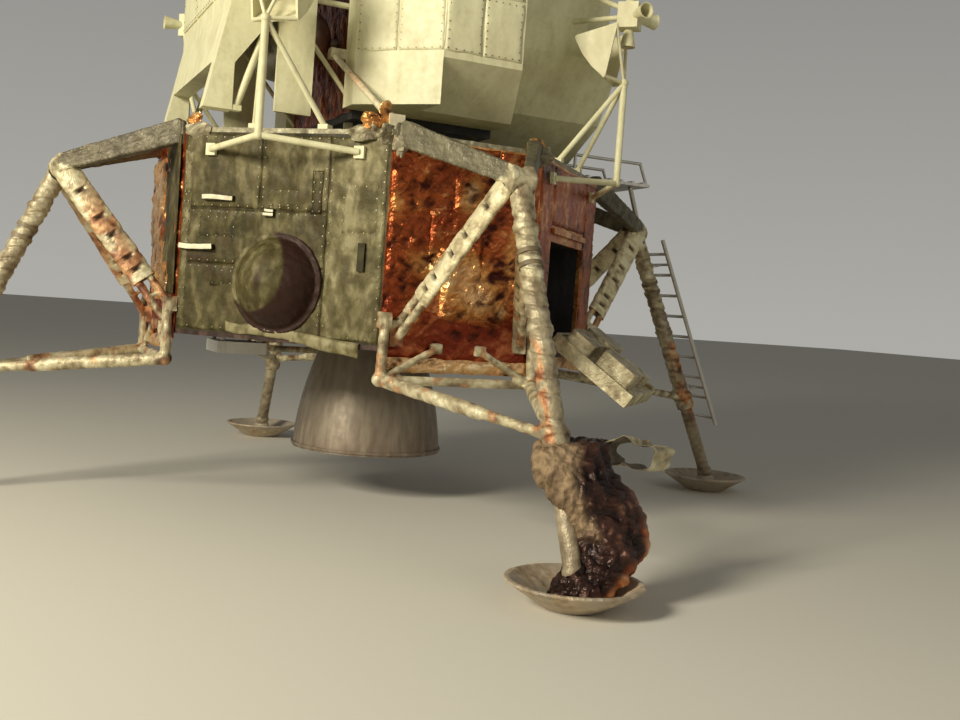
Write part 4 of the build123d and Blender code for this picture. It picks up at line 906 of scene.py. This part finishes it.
# Patches of the quad panels: right, left, low, high, proud and shade
PANEL_PATCHES = {
    "rear_starboard": (
        (-0.955, -0.440, 1.580, 3.240, 0.010, 0.66),
        (-0.430, 0.955, 1.580, 2.140, 0.009, 0.44),
        (-0.430, 0.955, 2.150, 2.610, 0.009, 0.42),
        (-0.430, 0.200, 2.620, 3.240, 0.010, 0.50),
        (0.210, 0.955, 2.620, 3.240, 0.009, 0.44),
        (-0.385, -0.280, 2.600, 2.960, 0.018, 0.05),
        (0.880, 0.962, 1.650, 3.100, 0.018, 0.84),
        (-0.170, 0.110, 2.640, 2.800, 0.017, 0.60),
        (0.330, 0.640, 1.960, 2.110, 0.015, 0.20),
        (-0.900, -0.560, 2.440, 2.860, 0.014, 0.62),
        (0.420, 0.800, 2.360, 2.560, 0.014, 0.26),
    ),
    "rear_port": (
        (-0.955, -0.810, 1.580, 3.240, 0.010, 0.60),
        (0.810, 0.955, 1.580, 3.240, 0.010, 0.55),
        (-0.800, 0.800, 2.850, 3.240, 0.010, 0.50),
    ),
    "front_port": (
        (-0.955, -0.660, 1.580, 3.240, 0.010, 0.48),
        (0.660, 0.955, 1.580, 3.240, 0.010, 0.58),
        (-0.650, 0.650, 2.720, 3.240, 0.010, 0.52),
    ),
    "front_starboard": (
        (-0.955, -0.570, 1.580, 3.240, 0.012, 0.3),
        (0.570, 0.955, 1.580, 3.240, 0.012, 0.3),
        (-0.560, 0.560, 2.720, 3.240, 0.012, 0.3),
    ),
}
# Soft lighter and darker zones of the near panel, and its painted shade by its ledges, in the same columns as
# spots()
PANEL_TINTS = (
    (-0.55, 2.98, 0.38, 0.17, 0.30),
    (0.05, 3.05, 0.22, 0.16, 0.12),
    (0.10, 2.80, 0.16, 0.12, -0.12),
    (0.45, 2.62, 0.16, 0.14, -0.16),
    (0.72, 2.86, 0.14, 0.12, -0.18),
    (-0.30, 2.56, 0.10, 0.12, -0.16),
    (-0.62, 2.30, 0.22, 0.26, 0.12),
    (0.52, 2.26, 0.14, 0.16, -0.14),
    (0.62, 1.86, 0.18, 0.14, -0.20),
    (0.30, 1.74, 0.16, 0.10, 0.12),
    (-0.70, 1.82, 0.13, 0.12, -0.34),
    (-0.55, 2.02, 0.12, 0.12, 0.10),
    (0.80, 2.48, 0.10, 0.08, 0.18),
)
# Painted shade in recesses and along the ledges
PANEL_PAINTED_SHADE = (
    (0.82, 2.18, 0.12, 0.06, 0.75),
    (0.66, 2.10, 0.05, 0.07, 0.45),
    (-0.79, 2.28, 0.04, 0.14, 0.60),
    (0.86, 2.52, 0.03, 0.10, 0.45),
    (0.62, 2.74, 0.12, 0.02, 0.40),
)
# Pale bands below the near panel: they slant down to the right
PANEL_BANDS = (
    (((0.46, 1.575), (-0.20, 1.545), (-0.20, 1.640), (0.46, 1.660)), 0.016, 0.86, 0.012),
    (((-0.16, 1.535), (-0.80, 1.440), (-0.80, 1.560), (-0.16, 1.630)), 0.016, 0.90, 0.016),
)


def quad_blankets():
    """Patched skins over the four quad panels, riveted along their edges."""
    for k, (name, rows) in enumerate(PANEL_PATCHES.items()):
        wall = outer_wall(QUAD_ANGLES[name], QUAD_RADIUS)
        near = name == "rear_starboard"
        foil = name == "front_starboard"
        patches = [(upright(*row[:4]), row[4], row[5], 0.0) for row in rows]
        quilt(f"quad_skin_{name}", wall, patches + list(PANEL_BANDS if near else ()),
              AMBER_SHEET if foil else FINISHES["olive_skin"],
              folds(80 + 7 * k, *PANEL_FOLDS), seed=20 + k, cell=PANEL_CELL, smooth=True,
              tints=PANEL_TINTS if near else (), painted_shades=PANEL_PAINTED_SHADE if near else ())
        seams = [(wall, seam_lines(*row[:4]), PANEL_RIVET_SPACING, row[4] * 0.8) for row in rows]
        rivets(f"quad_rivets_{name}", seams, radius=0.006, height=0.010)


# Bright faces of the near panel's ledges and fixtures: right, left, low, high and offset
LEDGE_FACES = (
    (0.450, 0.750, 2.684, 2.720, 0.046),
    (0.620, 0.950, 2.262, 2.302, 0.061),
    (0.055, 0.145, 2.566, 2.590, 0.043),
    (0.055, 0.145, 2.604, 2.622, 0.043),
)


def ledge_trim():
    """Bright cream faces along the ledges of the near panel."""
    wall = outer_wall(QUAD_ANGLES["rear_starboard"], QUAD_RADIUS)
    patches = [(upright(*face[:4]), 0.004, 0.5, face[4]) for face in LEDGE_FACES]
    quilt("ledge_trim", wall, patches, CREAM_TAPE, lambda points: creases(points, 0.1, 9),
          seed=31, cell=0.012)


# Legs and outriggers

def from_leg(points, angle):
    """Places in the frame of the leg that points along +Y, from places on the leg at an angle."""
    turn = radians(angle)
    x = points[:, 0] * cos(turn) + points[:, 1] * sin(turn)
    y = points[:, 1] * cos(turn) - points[:, 0] * sin(turn)
    return np.stack([x, y, points[:, 2]], 1)


def to_leg(points, angle):
    """Places on the leg at an angle, from places in the frame of the leg that points along +Y."""
    return from_leg(points, -angle)


def line_distance(points, start, end):
    """Each point's share of the way along a line and its distance from that line."""
    way = end - start
    share = (points - start) @ way / (way @ way)
    return share, np.linalg.norm(points - start - np.outer(share, way), axis=1)


# Heights of the rings that draw the strut's foil in, and how dark each one is
STRUT_RINGS = ((2.60, 0.3), (2.47, 0.3), (2.350, 1.0), (2.255, 0.9), (2.16, 0.4), (2.06, 0.4), (1.96, 0.5),
               (1.86, 0.35), (1.75, 0.5), (1.62, 0.3), (1.49, 0.45), (1.36, 0.3), (1.20, 0.5))
RING_HALF = 0.013
# Rings at least this dark get tape of their own, with its length along the strut and its depth in the foil
TAPE_STRENGTH = 0.8
TAPE_LENGTH = 0.034
TAPE_DEPTH = 0.008
# Distance from the strut's line at which its foil ends, and at which it is wholly the strut's
STRUT_FOIL = (0.17, 0.13)
# How far the strut's foil is drawn in all along, at a ring and at a gather, and how far apart the gathers are
FOIL_DRAW = 0.011
RING_DRAW = 0.010
GATHER_DRAW = 0.006
GATHER_SPACING = 0.075


def near_ring(rise, wide, narrow, strengths):
    """How strongly the rings are felt at each height: not at all past the wide distance from a ring, fully
    within the narrow one, both in ring halves."""
    felt = np.zeros(len(rise))
    for (height, _), strength in zip(STRUT_RINGS, strengths):
        away = np.abs(rise - height)
        felt = np.maximum(felt, strength * ease(RING_HALF * wide, RING_HALF * narrow, away))
    return felt


def strut_pinch(points, angle):
    """How far the rings and gathers draw the strut's foil in."""
    place = from_leg(points, angle)
    rise = place[:, 2]
    _, away = line_distance(place, APEX, SOCKET)
    on_strut = ease(*STRUT_FOIL, away) * ease(1.12, 1.16, rise)
    drawn = near_ring(rise, 1.8, 0.6, [1] * len(STRUT_RINGS))
    gathers = (triangle_wave(rise / GATHER_SPACING + 0.3 * np.sin(rise * 21)) + 1) * 0.5
    return on_strut * (FOIL_DRAW + drawn * RING_DRAW + gathers * GATHER_DRAW)


def strut_marks(points, angle):
    """Dark rings, amber foil along the lower left, dust at the foot and a darker lower stretch; the rear
    strut gets painted shade.
    """
    place = from_leg(points, angle)
    rise = place[:, 2]
    rear = angle == LEG_ANGLES["rear"]
    _, away = line_distance(place, APEX, SOCKET)
    on_strut = ease(*STRUT_FOIL, away)
    tape_and_shade = near_ring(rise, 1.3, 0.7, [strength for _, strength in STRUT_RINGS])
    left = ease(0.035, 0.070, place[:, 0])
    low = ease(1.80, 1.66, rise) * ease(0.60, 0.75, rise)
    # Painted shade: the rear strut is darkened all along; the others darken below their middle
    darkened = 0.30 if rear else ease(2.25, 1.95, rise) * 0.55
    patches = ease(-0.35, 0.1, creases(points, 0.16, 7))
    truss = ease(0.25, 0.55, creases(points, 0.22, 11)) * (1 - on_strut) * 0.7
    glow = np.maximum(left * low * patches * on_strut, truss)
    # The rear strut's extra dark is painted shade
    return {"tape_and_shade": np.maximum(tape_and_shade * 0.6, 0.12 * rear) * on_strut, "glow": glow,
            "dust_and_shading": np.maximum(ease(1.02, 0.72, rise) * 0.9, on_strut * darkened * (1 - glow))}


def outrigger_marks(points, angle):
    """Grey-green beams and cream braces, with amber patches low on the braces and painted shade on the rear
    beam.
    """
    place = from_leg(points, angle)
    place[:, 0] = np.abs(place[:, 0])
    rear = angle == LEG_ANGLES["rear"]
    share, beam = line_distance(place, *BEAM)
    along, brace = line_distance(place, *BRACE)
    grey = ease(0.19, 0.14, beam) * ease(1.03, 0.95, share) * (beam < brace)
    patches = ease(0.1 - 0.5 * rear, 0.4 - 0.4 * rear, creases(points, 0.14, 23))
    amber = patches * ease(0.60, 0.3, along) * (brace < beam) * 0.9
    # Painted shade: the rear beam is darkened
    return {"shade": grey, "tape_and_shade": grey * 0.25 * rear, "glow": amber}


def gear_foil():
    """Pale crumpled foil over the legs, the outriggers and the footpads."""
    fine = (0.16, 0.075, 0.04)
    for k, (name, angle) in enumerate(LEG_ANGLES.items()):
        foil_cover(f"leg_{name}", PALE_SHEET, voxel=0.0125, depth=0.006, seed=100 + 5 * k,
                   share=0.5, sizes=fine, pinch=lambda points: strut_pinch(points, angle),
                   marks=lambda points: strut_marks(points, angle))
        foil_cover(f"outrigger_{name}", PALE_SHEET, voxel=0.014, depth=0.007, seed=130 + 5 * k,
                   share=0.5, sizes=fine, marks=lambda points: outrigger_marks(points, angle))
    foil_cover("footpads", FOOTPAD_FOIL, voxel=0.016, depth=0.004, seed=160, share=0.5,
               sizes=(0.16, 0.07, 0.035))


# Shares of a brace's length where its foil sleeve starts and ends, and where slots between the bars show,
# dark with painted shade
SLEEVE_ENDS = (0.24, 0.98)
SLEEVE_SLOTS = (0.31, 0.39, 0.54, 0.66, 0.84)
SLOT_HALF_LENGTH = 0.012
SLOT_DEPTH = 0.030
SLEEVE_HALF_WIDTH = 0.112
SLEEVE_HALF_DEPTH = 0.048
SLEEVE_CELL = 0.014
SLEEVE_FOLDS = 0.008
FOIL_THICKNESS = 0.007


def sleeve(foot, head, seed):
    """Flattened tube of foil round the two bars of a brace, nipped in at its slots."""
    aside = np.cross(head - foot, (1, 0, 0))
    aside = aside / np.linalg.norm(aside)
    length = float(np.linalg.norm(head - foot))
    deep = np.cross((head - foot) / np.linalg.norm(head - foot), aside)
    along = np.linspace(*SLEEVE_ENDS, round(length / SLEEVE_CELL))
    turns = np.linspace(0, 2 * pi, 44, endpoint=False)
    wide = np.outer(np.cos(turns) * SLEEVE_HALF_WIDTH, aside)
    outline = wide + np.outer(np.sin(turns) * SLEEVE_HALF_DEPTH, deep)
    outward = outline / np.linalg.norm(outline, axis=1)[:, None]
    middle = foot + np.outer(along, head - foot)
    grid = middle[:, None, :] + outline[None, :, :]
    height = crumple(grid.reshape(-1, 3), seed, 0.16, 0.07, 0.035).reshape(grid.shape[:2])
    near = np.zeros(len(along))
    for slot in SLEEVE_SLOTS:
        away = np.abs(along - slot)
        near = np.maximum(near, ease(SLOT_HALF_LENGTH * 1.3, SLOT_HALF_LENGTH * 0.5, away))
    # Painted shade: the slots between the bars are coloured dark
    slots = near[:, None] * ease(0.62, 0.40, np.abs(np.cos(turns)))[None, :]
    lift = height * SLEEVE_FOLDS - slots * SLOT_DEPTH - near[:, None] * 0.004
    outside = grid + outward[None, :, :] * lift[:, :, None]
    points, faces = closed_band(outside, outside - outward[None, :, :] * FOIL_THICKNESS)
    return points, faces, both_faces(height), both_faces(slots)


def brace_sleeves():
    """Cream foil sleeves over both braces of every outrigger, red and darker on the rear one, partly as
    painted shade.
    """
    parts = []
    for name, angle in LEG_ANGLES.items():
        # On the rear sleeves more red and dust darken the cream, partly as painted shade over the amber
        # foil's own colour
        red, dust_and_shading_amount = (0.90, 0.3) if name == "rear" else (0.12, 0.0)
        for mirror in (1, -1):
            foot, head = (end * (mirror, 1, 1) for end in BRACE)
            points, faces, fold, slots = sleeve(foot, head, 300 + angle + mirror)
            reach = ease(1.05, 0.60, line_distance(points, foot, head)[0])
            glow = ease(-0.45, 0.15, creases(points, 0.20, 29)) * reach * red
            marks = {"fold": fold * 0.5 + 0.5, "tape_and_shade": slots, "glow": glow, "dust_and_shading": dust_and_shading_amount * (1 - glow)}
            parts.append((to_leg(points, angle), faces, marks))
    mesh = formed("brace_sleeves", parts)
    new_piece("brace_sleeves", faced_outward(mesh), SLEEVE_SHEET)


def strut_tape():
    """Dark tape rings where the foil is drawn in on the four struts."""
    points, ways = [], []
    way = (SOCKET - APEX) / np.linalg.norm(SOCKET - APEX)
    for angle in LEG_ANGLES.values():
        for height, strength in STRUT_RINGS:
            if strength < TAPE_STRENGTH:
                continue
            place = APEX + (SOCKET - APEX) * (APEX[2] - height) / (APEX[2] - SOCKET[2])
            points.append(to_leg(place[None, :], angle)[0])
            ways.append(to_leg(way[None, :], angle)[0])
    studs("strut_tape", points, ways, STRUT_RADIUS - TAPE_DEPTH, TAPE_LENGTH, DARK_TAPE, sides=40)


# Rises, half widths and shifts of the bulky wrap, in the frame of its leg
WRAP_HEIGHTS = (0.070, 0.200, 0.380, 0.800, 1.060)
WRAP_HALVES = (0.220, 0.245, 0.285, 0.320, 0.255)
WRAP_SHIFTS = (0.030, 0.140, 0.290, 0.150, 0.205)
# The loose curl at the wrap's top: a hoop of foil and the way across its band
CURL_CENTRE = np.array((-0.66, 3.86, 0.965))
CURL_HALF_WIDTH = 0.225
CURL_HALF_HEIGHT = 0.115
CURL_BAND = np.array((0.25, 0.12, 0.02))
CURL_FOLDS = 0.030


def wrap_marks(points):
    """Tan down the wrap's left side, and orange painted light low on its right and along its right edge."""
    place = from_leg(points, LEG_ANGLES["starboard"])
    rise = place[:, 2]
    shifted = place[:, 0] + np.interp(rise, WRAP_HEIGHTS, WRAP_SHIFTS)
    lean = shifted / np.interp(rise, WRAP_HEIGHTS, WRAP_HALVES)
    dust_and_shading = ease(0.30, 0.62, lean) * ease(0.40, 0.55, rise)
    # Painted light: orange low on the right and along the right edge
    low = ease(-0.10, -0.45, lean) * ease(0.36, 0.24, rise)
    side = ease(-0.62, -0.85, lean) * ease(0.62, 0.45, rise)
    return {"dust_and_shading": dust_and_shading, "glow": np.maximum(low, side)}


def strut_wrap():
    """Bulky crumpled foil round the starboard strut's lower end."""
    foil_cover("strut_wrap", FINISHES["dark_foil"], voxel=0.012, depth=0.050, seed=171,
               share=0.8, sizes=(0.36, 0.15, 0.06), marks=wrap_marks)


def wrap_curl():
    """The loose pale curl at the top of the wrap, dark on its inner face."""
    turns = np.linspace(0, 2 * pi, 90, endpoint=False)
    hoop = np.stack([np.cos(turns) * CURL_HALF_WIDTH, 0 * turns, np.sin(turns) * CURL_HALF_HEIGHT], 1)
    outward = hoop / np.linalg.norm(hoop, axis=1)[:, None]
    across = np.linspace(-0.5, 0.5, 11)
    grid = CURL_CENTRE + hoop[None, :, :] + across[:, None, None] * CURL_BAND
    height = crumple(grid.reshape(-1, 3), 181, 0.2, 0.08, 0.04).reshape(grid.shape[:2])
    sag = 0.035 * np.sin(turns * 2 + 0.6) + 0.020 * np.sin(turns * 5)
    outside = grid + outward[None, :, :] * (height * CURL_FOLDS + sag[None, :])[:, :, None]
    points, faces = closed_band(outside, outside - outward[None, :, :] * FOIL_THICKNESS)
    inner = np.concatenate([np.zeros(height.size), np.ones(height.size)])
    marks = {"fold": both_faces(height) * 0.5 + 0.5, "tape_and_shade": inner * 0.8}
    mesh = formed("wrap_curl", [(to_leg(points, LEG_ANGLES["starboard"]), faces, marks)])
    new_piece("wrap_curl", faced_outward(mesh), PALE_SHEET)


# Height of the middle of the tank's rounded cover, and its painted shade and soft zones in the same columns
# as spots()
DOME_Z = 2.010
# Painted shade in the crease on the crown and low on the dome
DOME_CREASE_SHADE = (
    (0.02, DOME_Z + 0.02, 0.035, 0.12, 0.75),
    (0.12, 1.82, 0.10, 0.05, 0.30),
)
DOME_TINTS = (
    (0.10, 2.22, 0.14, 0.10, 0.10),
    (0.22, 1.98, 0.06, 0.16, -0.20),
    (-0.08, 1.98, 0.06, 0.12, 0.25),
)
DOME_SHADE = 0.50
# Painted shadow on it, a dark crescent: its middle across and above the cover's, where it starts and is full,
# its way
CRESCENT_ACROSS = 0.15
CRESCENT_ABOVE = 0.08
CRESCENT_RADII = (0.318, 0.345)
CRESCENT_WAY = (-0.85, -0.53)


def dome_marks(points):
    """Olive skin with a painted shadow as a dark crescent low on the dome's right and painted shade in its
    crown's crease.
    """
    wall = outer_wall(QUAD_ANGLES["rear_starboard"], QUAD_RADIUS)
    across = (points - wall.base) @ wall.side
    rise = points[:, 2]
    x = across - CRESCENT_ACROSS
    z = rise - DOME_Z - CRESCENT_ABOVE
    away = np.sqrt(x * x + z * z) + 1e-6
    facing = (CRESCENT_WAY[0] * x + CRESCENT_WAY[1] * z) / away
    # Painted shadow: dark on the side of the dome away from the light
    crescent = ease(*CRESCENT_RADII, away) * ease(-0.36, -0.10, facing)
    painted_shade = crescent + spots(across, rise, DOME_CREASE_SHADE)
    shade = DOME_SHADE + spots(across, rise, DOME_TINTS)
    return {"painted_shade": np.clip(painted_shade, 0, 1), "shade": np.clip(shade, 0, 1)}


def helium_dome():
    """Dented skin over the tank's rounded cover."""
    foil_cover("helium_tank_dome", FINISHES["olive_skin"], voxel=0.011, depth=0.014, seed=181,
               share=0.7, sizes=(0.38, 0.15, 0.06), marks=dome_marks, smooth=True)


# Ascent stage skins

# Corners of the tank covers in plan: front, side and back
COVER_STARBOARD = ((-1.8288, -0.535), (-1.8288, 0.200), (-1.2243, 0.7758))
COVER_PORT = ((2.540, -0.535), (2.540, 0.200), (1.4376, 0.7758))
COVER_FOLDS = (0.5, 0.22, 0.09)
# Heights of the covers' skins, and how far they stay inside a wall's ends and from the seam at its middle
SKIN_LOW = 4.06
SKIN_TOP = 5.07
SKIN_MARGIN = 0.012
SEAM_HALF = 0.006
COVER_RIVET_SPACING = 0.070
# The face of the rack behind the covers, and its panels: right, left, low and high
RACK_Y = 1.856
RACK_RIVET_SPACING = 0.075
RACK_PANELS = (
    (-1.06, -0.40, 4.48, 5.08),
    (-0.36, 0.36, 4.48, 5.08),
    (0.40, 1.06, 4.48, 5.08),
    (-1.06, -0.03, 5.12, 5.70),
    (0.03, 1.06, 5.12, 5.70),
)
# Patches of the blanket behind the rack: right, left, low, high, proud, shade and offset
BULKHEAD_PATCHES = (
    (-0.93, -0.10, 3.60, 4.55, 0.022, 0.20, 0.0),
    (-0.12, 0.93, 3.60, 4.60, 0.020, 0.14, 0.0),
    (-0.93, 0.20, 4.50, 5.60, 0.020, 0.10, 0.006),
    (0.16, 0.93, 4.55, 5.60, 0.022, 0.20, 0.0),
)


def cover_areas(length):
    """Right, left, low and high of the four skins on one wall of a tank cover."""
    middle = length * 0.52
    right = (SKIN_MARGIN, middle - SEAM_HALF)
    left = (middle + SEAM_HALF, length - SKIN_MARGIN)
    return ((*right, SKIN_LOW, 4.56), (*left, SKIN_LOW, 4.62),
            (*right, 4.575, SKIN_TOP), (*left, 4.635, SKIN_TOP))


def stage_skins():
    """Wavy cream skins on the tank covers, with the rivets of the covers and of the rack behind them."""
    front, corner, back = COVER_STARBOARD
    walls = {"starboard_side": (front, corner), "starboard_rear": (corner, back)}
    front, corner, back = COVER_PORT
    walls.update({"port_side": (corner, front), "port_rear": (back, corner)})
    seams = []
    for k, (name, (right, left)) in enumerate(walls.items()):
        wall = plan_wall(right, left)
        areas = cover_areas(sqrt((left[0] - right[0]) ** 2 + (left[1] - right[1]) ** 2))
        patches = [(upright(*area), 0.008, 0.5, 0.0) for area in areas]
        quilt(f"cover_skin_{name}", wall, patches, FINISHES["cream_skin"],
              folds(400 + 5 * k, *COVER_FOLDS), seed=60 + k, cell=0.022, smooth=True)
        seams += [(wall, seam_lines(*area), COVER_RIVET_SPACING, 0.006) for area in areas]
    rack = Wall((0, RACK_Y, 0), (1, 0, 0))
    seams += [(rack, seam_lines(*panel), RACK_RIVET_SPACING, 0.001) for panel in RACK_PANELS]
    rivets("cover_rivets", seams, radius=0.006, height=0.008)


def bulkhead_foil():
    """Dark red blanket on the wall behind the rack, partly the foil's own red and partly painted shade of the
    recess.
    """
    wall = Wall((0, MID_HALF_DEPTH, 0), (1, 0, 0))
    patches = [(upright(*patch[:4]), *patch[4:]) for patch in BULKHEAD_PATCHES]
    quilt("bulkhead_foil", wall, patches, AMBER_SHEET, folds(431, 0.3, 0.12, 0.05),
          seed=71, cell=0.024)


# The canted panels round the cabin's two windows, which the rigid cabin face leaves partly open. Places are
# across and up on the port side, and are mirrored; each panel runs back from the nose to the cabin's side
NOSE_HALF = 0.150
NOSE_TOP = 5.613
LEDGE_Z = 4.585
LEAN_ASIDE = 0.1376
LEAN_DOWN = 0.187
PANEL_LOW = LEDGE_Z - 0.005
PANEL_SIDE = CABIN_RADIUS - 0.053
PANEL_BROW = (0.395, 5.793)
PANEL_OUT = np.array((LEAN_ASIDE, -1, -LEAN_DOWN))
PANEL_OUT /= np.linalg.norm(PANEL_OUT)
WINDOW = ((0.250, 5.461), (0.300, 4.775), (0.860, 5.131))
# Thicknesses of the plates, how far the panels stand in front of the rigid face, and how far in front of the
# shell's edge the ledge starts
PANEL_THICKNESS = 0.0165
PANEL_PROUD = 0.003
TRIM_THICKNESS = 0.008
LEDGE_THICKNESS = 0.014
LEDGE_AHEAD = 0.017
# The trim's inner and outer edge and the rivets round it, as shares of the window's size
TRIM_EDGES = (1.01, 1.11)
RIVET_ROUND = 1.19
WINDOW_RIVET_SPACING = 0.06


def panel_spot(x, z, proud=0.0):
    """Point on the plane of the port window's panel, or in front of it."""
    y = FACE_FRONT + LEAN_ASIDE * (x - NOSE_HALF) + LEAN_DOWN * (NOSE_TOP - z)
    return np.array((x, y, z)) + PANEL_OUT * proud


def window_round(share):
    """Corners of the window's outline, grown by a share about its middle."""
    middle = np.mean(WINDOW, 0)
    return [tuple(middle + (np.array(spot) - middle) * share) for spot in WINDOW]


def plate(points, faces, depth):
    """Points and faces of a closed plate, from a flat sheet and the way in which it gets its thickness."""
    points = np.array(points)
    count = len(points)
    edges = [(face[k - 1], face[k]) for face in faces for k in range(len(face))]
    rim = [edge for edge in edges if edge[::-1] not in edges]
    closed = list(faces) + [[count + corner for corner in reversed(face)] for face in faces]
    closed += [[end, start, count + start, count + end] for start, end in rim]
    return np.concatenate([points, points + np.array(depth)]), closed


def plates(name, rows, finish):
    """One piece of plates and their mirror images; each row is a sheet's points, faces and thickness."""
    parts = []
    for across in (1, -1):
        for row in rows:
            points, faces = plate(*row)
            parts.append((points * (across, 1, 1), faces, {}))
    new_piece(name, faced_outward(formed(name, parts)), FINISHES[finish])


def window_panels():
    """Dark panels round the windows."""
    corner = PANEL_SIDE / cos(pi / 12)
    shoulder = corner * cos(pi / 4)
    side_high = CABIN_Z + corner * sin(pi / 12)
    outline = [(NOSE_HALF, PANEL_LOW), (NOSE_HALF, NOSE_TOP), PANEL_BROW, (shoulder, CABIN_Z + shoulder),
               (PANEL_SIDE, side_high), (PANEL_SIDE, PANEL_LOW)]
    points = [panel_spot(*spot, PANEL_PROUD) for spot in outline + list(WINDOW)]
    faces = [[0, 1, 6, 7], [1, 2, 3, 8, 6], [3, 4, 5, 8], [8, 5, 0, 7]]
    plates("window_panels", [(points, faces, -PANEL_OUT * PANEL_THICKNESS)], "dark_skin")


def window_trim():
    """Bright frames round the panes."""
    inner, outer = (window_round(share) for share in TRIM_EDGES)
    points = [panel_spot(*spot, TRIM_THICKNESS) for spot in inner + outer]
    faces = [[0, 3, 4, 1], [1, 4, 5, 2], [2, 5, 3, 0]]
    plates("window_trim", [(points, faces, -PANEL_OUT * TRIM_THICKNESS)], "bare_alloy")


def window_ledges():
    """The ledges below the panels and the cheeks beside the nose."""
    front = CABIN_FRONT - LEDGE_AHEAD
    high = LEDGE_Z + 0.002
    inner_foot = panel_spot(NOSE_HALF, PANEL_LOW)[1] + 0.01
    outer_foot = panel_spot(PANEL_SIDE, PANEL_LOW)[1] + 0.01
    ledge = [(NOSE_HALF, front, high), (PANEL_SIDE, front, high), (PANEL_SIDE, outer_foot, high),
             (NOSE_HALF, inner_foot, high)]
    top = NOSE_TOP - (front - FACE_FRONT) / LEAN_DOWN
    side = NOSE_HALF + 0.002
    cheek = [(side, front, PANEL_LOW), (side, inner_foot, PANEL_LOW), (side, front, top)]
    plates("window_ledges", [(ledge, [[0, 1, 2, 3]], (0, 0, -LEDGE_THICKNESS)),
                             (cheek, [[0, 1, 2]], (-LEDGE_THICKNESS, 0, 0))], "cream_skin")


def window_rivets():
    """Rivets round each window, beside the nose and above the ledge."""
    around = window_round(RIVET_ROUND)
    rows = [(around[k], around[(k + 1) % 3]) for k in range(3)]
    low = PANEL_LOW + 0.04
    rows.append(((NOSE_HALF + 0.03, low), (NOSE_HALF + 0.03, NOSE_TOP - 0.04)))
    rows.append(((NOSE_HALF + 0.06, low), (PANEL_SIDE - 0.05, low)))
    points, ways = [], []
    for start, end in rows:
        start, end = panel_spot(*start), panel_spot(*end)
        count = int(np.linalg.norm(end - start) / WINDOW_RIVET_SPACING)
        for k in range(count):
            spot = start + (end - start) * k / count + PANEL_OUT * PANEL_PROUD
            points += [spot, spot * (-1, 1, 1)]
            ways += [PANEL_OUT, PANEL_OUT * (-1, 1, 1)]
    studs("window_rivets", points, ways, radius=0.005, height=0.006)


# Lumps of loose foil on the deck: centre, radii, turn about Z in degrees and seed
DECK_LUMPS = (
    ((-2.00, 0.74, 3.42), (0.012, 0.060, 0.11), 20, 501),
    ((-1.95, 0.84, 3.37), (0.014, 0.090, 0.07), -35, 502),
    ((-1.96, 0.66, 3.36), (0.012, 0.070, 0.08), 60, 505),
    ((-1.98, -0.66, 3.35), (0.014, 0.090, 0.07), 10, 503),
    ((-0.70, 2.00, 3.36), (0.014, 0.090, 0.07), -60, 504),
)
# The same for pale foil bunched over the body's upper corners
CORNER_LUMPS = (
    ((-2.04, 0.70, 3.27), (0.030, 0.10, 0.08), 20, 521),
    ((-1.90, 0.86, 3.27), (0.025, 0.16, 0.07), -45, 522),
    ((-2.08, 0.60, 3.20), (0.020, 0.09, 0.10), 0, 523),
    ((-0.80, 1.98, 3.27), (0.025, 0.14, 0.07), -45, 524),
    ((-2.07, -0.68, 3.26), (0.025, 0.10, 0.08), 0, 525),
)
# How far the pallet is lowered, and the line of its hinge: its height and its distance out from the wall
PALLET_LOWERED = radians(125)
HINGE_Z = 1.64
HINGE_OUT = 0.02
# Covers on the lowered pallet: across, along its length, above it, radii and seed
PALLET_LUMPS = (
    (0.36, 0.75, 0.10, (0.08, 0.085, 0.060), 511),
    (0.12, 0.76, 0.10, (0.09, 0.080, 0.060), 512),
    (-0.16, 0.75, 0.10, (0.10, 0.085, 0.060), 513),
    (-0.38, 0.74, 0.09, (0.07, 0.085, 0.055), 514),
)


def loose_foil():
    """Crumpled foil on the deck's corners and over the tools on the pallet."""
    for name, table, sheet, slot in (("deck_foil", DECK_LUMPS, AMBER_SHEET, "amber_foil"),
                                     ("corner_foil", CORNER_LUMPS, PALE_SHEET, "silver_foil")):
        rows = [(np.array(centre), radii, Matrix.Rotation(radians(turn), 3, "Z"), seed)
                for centre, radii, turn, seed in table]
        lumps(name, rows, sheet)
    wall = outer_wall(QUAD_ANGLES["front_starboard"], QUAD_RADIUS)
    along = RISE * cos(PALLET_LOWERED) + wall.out * sin(PALLET_LOWERED)
    above = RISE * sin(PALLET_LOWERED) - wall.out * cos(PALLET_LOWERED)
    hinge = wall.spot(0, HINGE_Z, HINGE_OUT)
    turn = np.stack([wall.side, along, above], 1)
    rows = [(hinge + wall.side * u + along * v + above * w, radii, turn, seed)
            for u, v, w, radii, seed in PALLET_LUMPS]
    lumps("pallet_foil", rows, PALE_SHEET, "equipment_pallet")


make_camera()
make_world()
make_floor()
for title, settings in LAMPS.items():
    make_lamp(title, *settings)
dress_nodes()
end_wall_blankets()
rear_wall_strips()
quad_blankets()
ledge_trim()
gear_foil()
brace_sleeves()
strut_tape()
strut_wrap()
wrap_curl()
helium_dome()
stage_skins()
bulkhead_foil()
window_panels()
window_trim()
window_ledges()
window_rivets()
loose_foil()
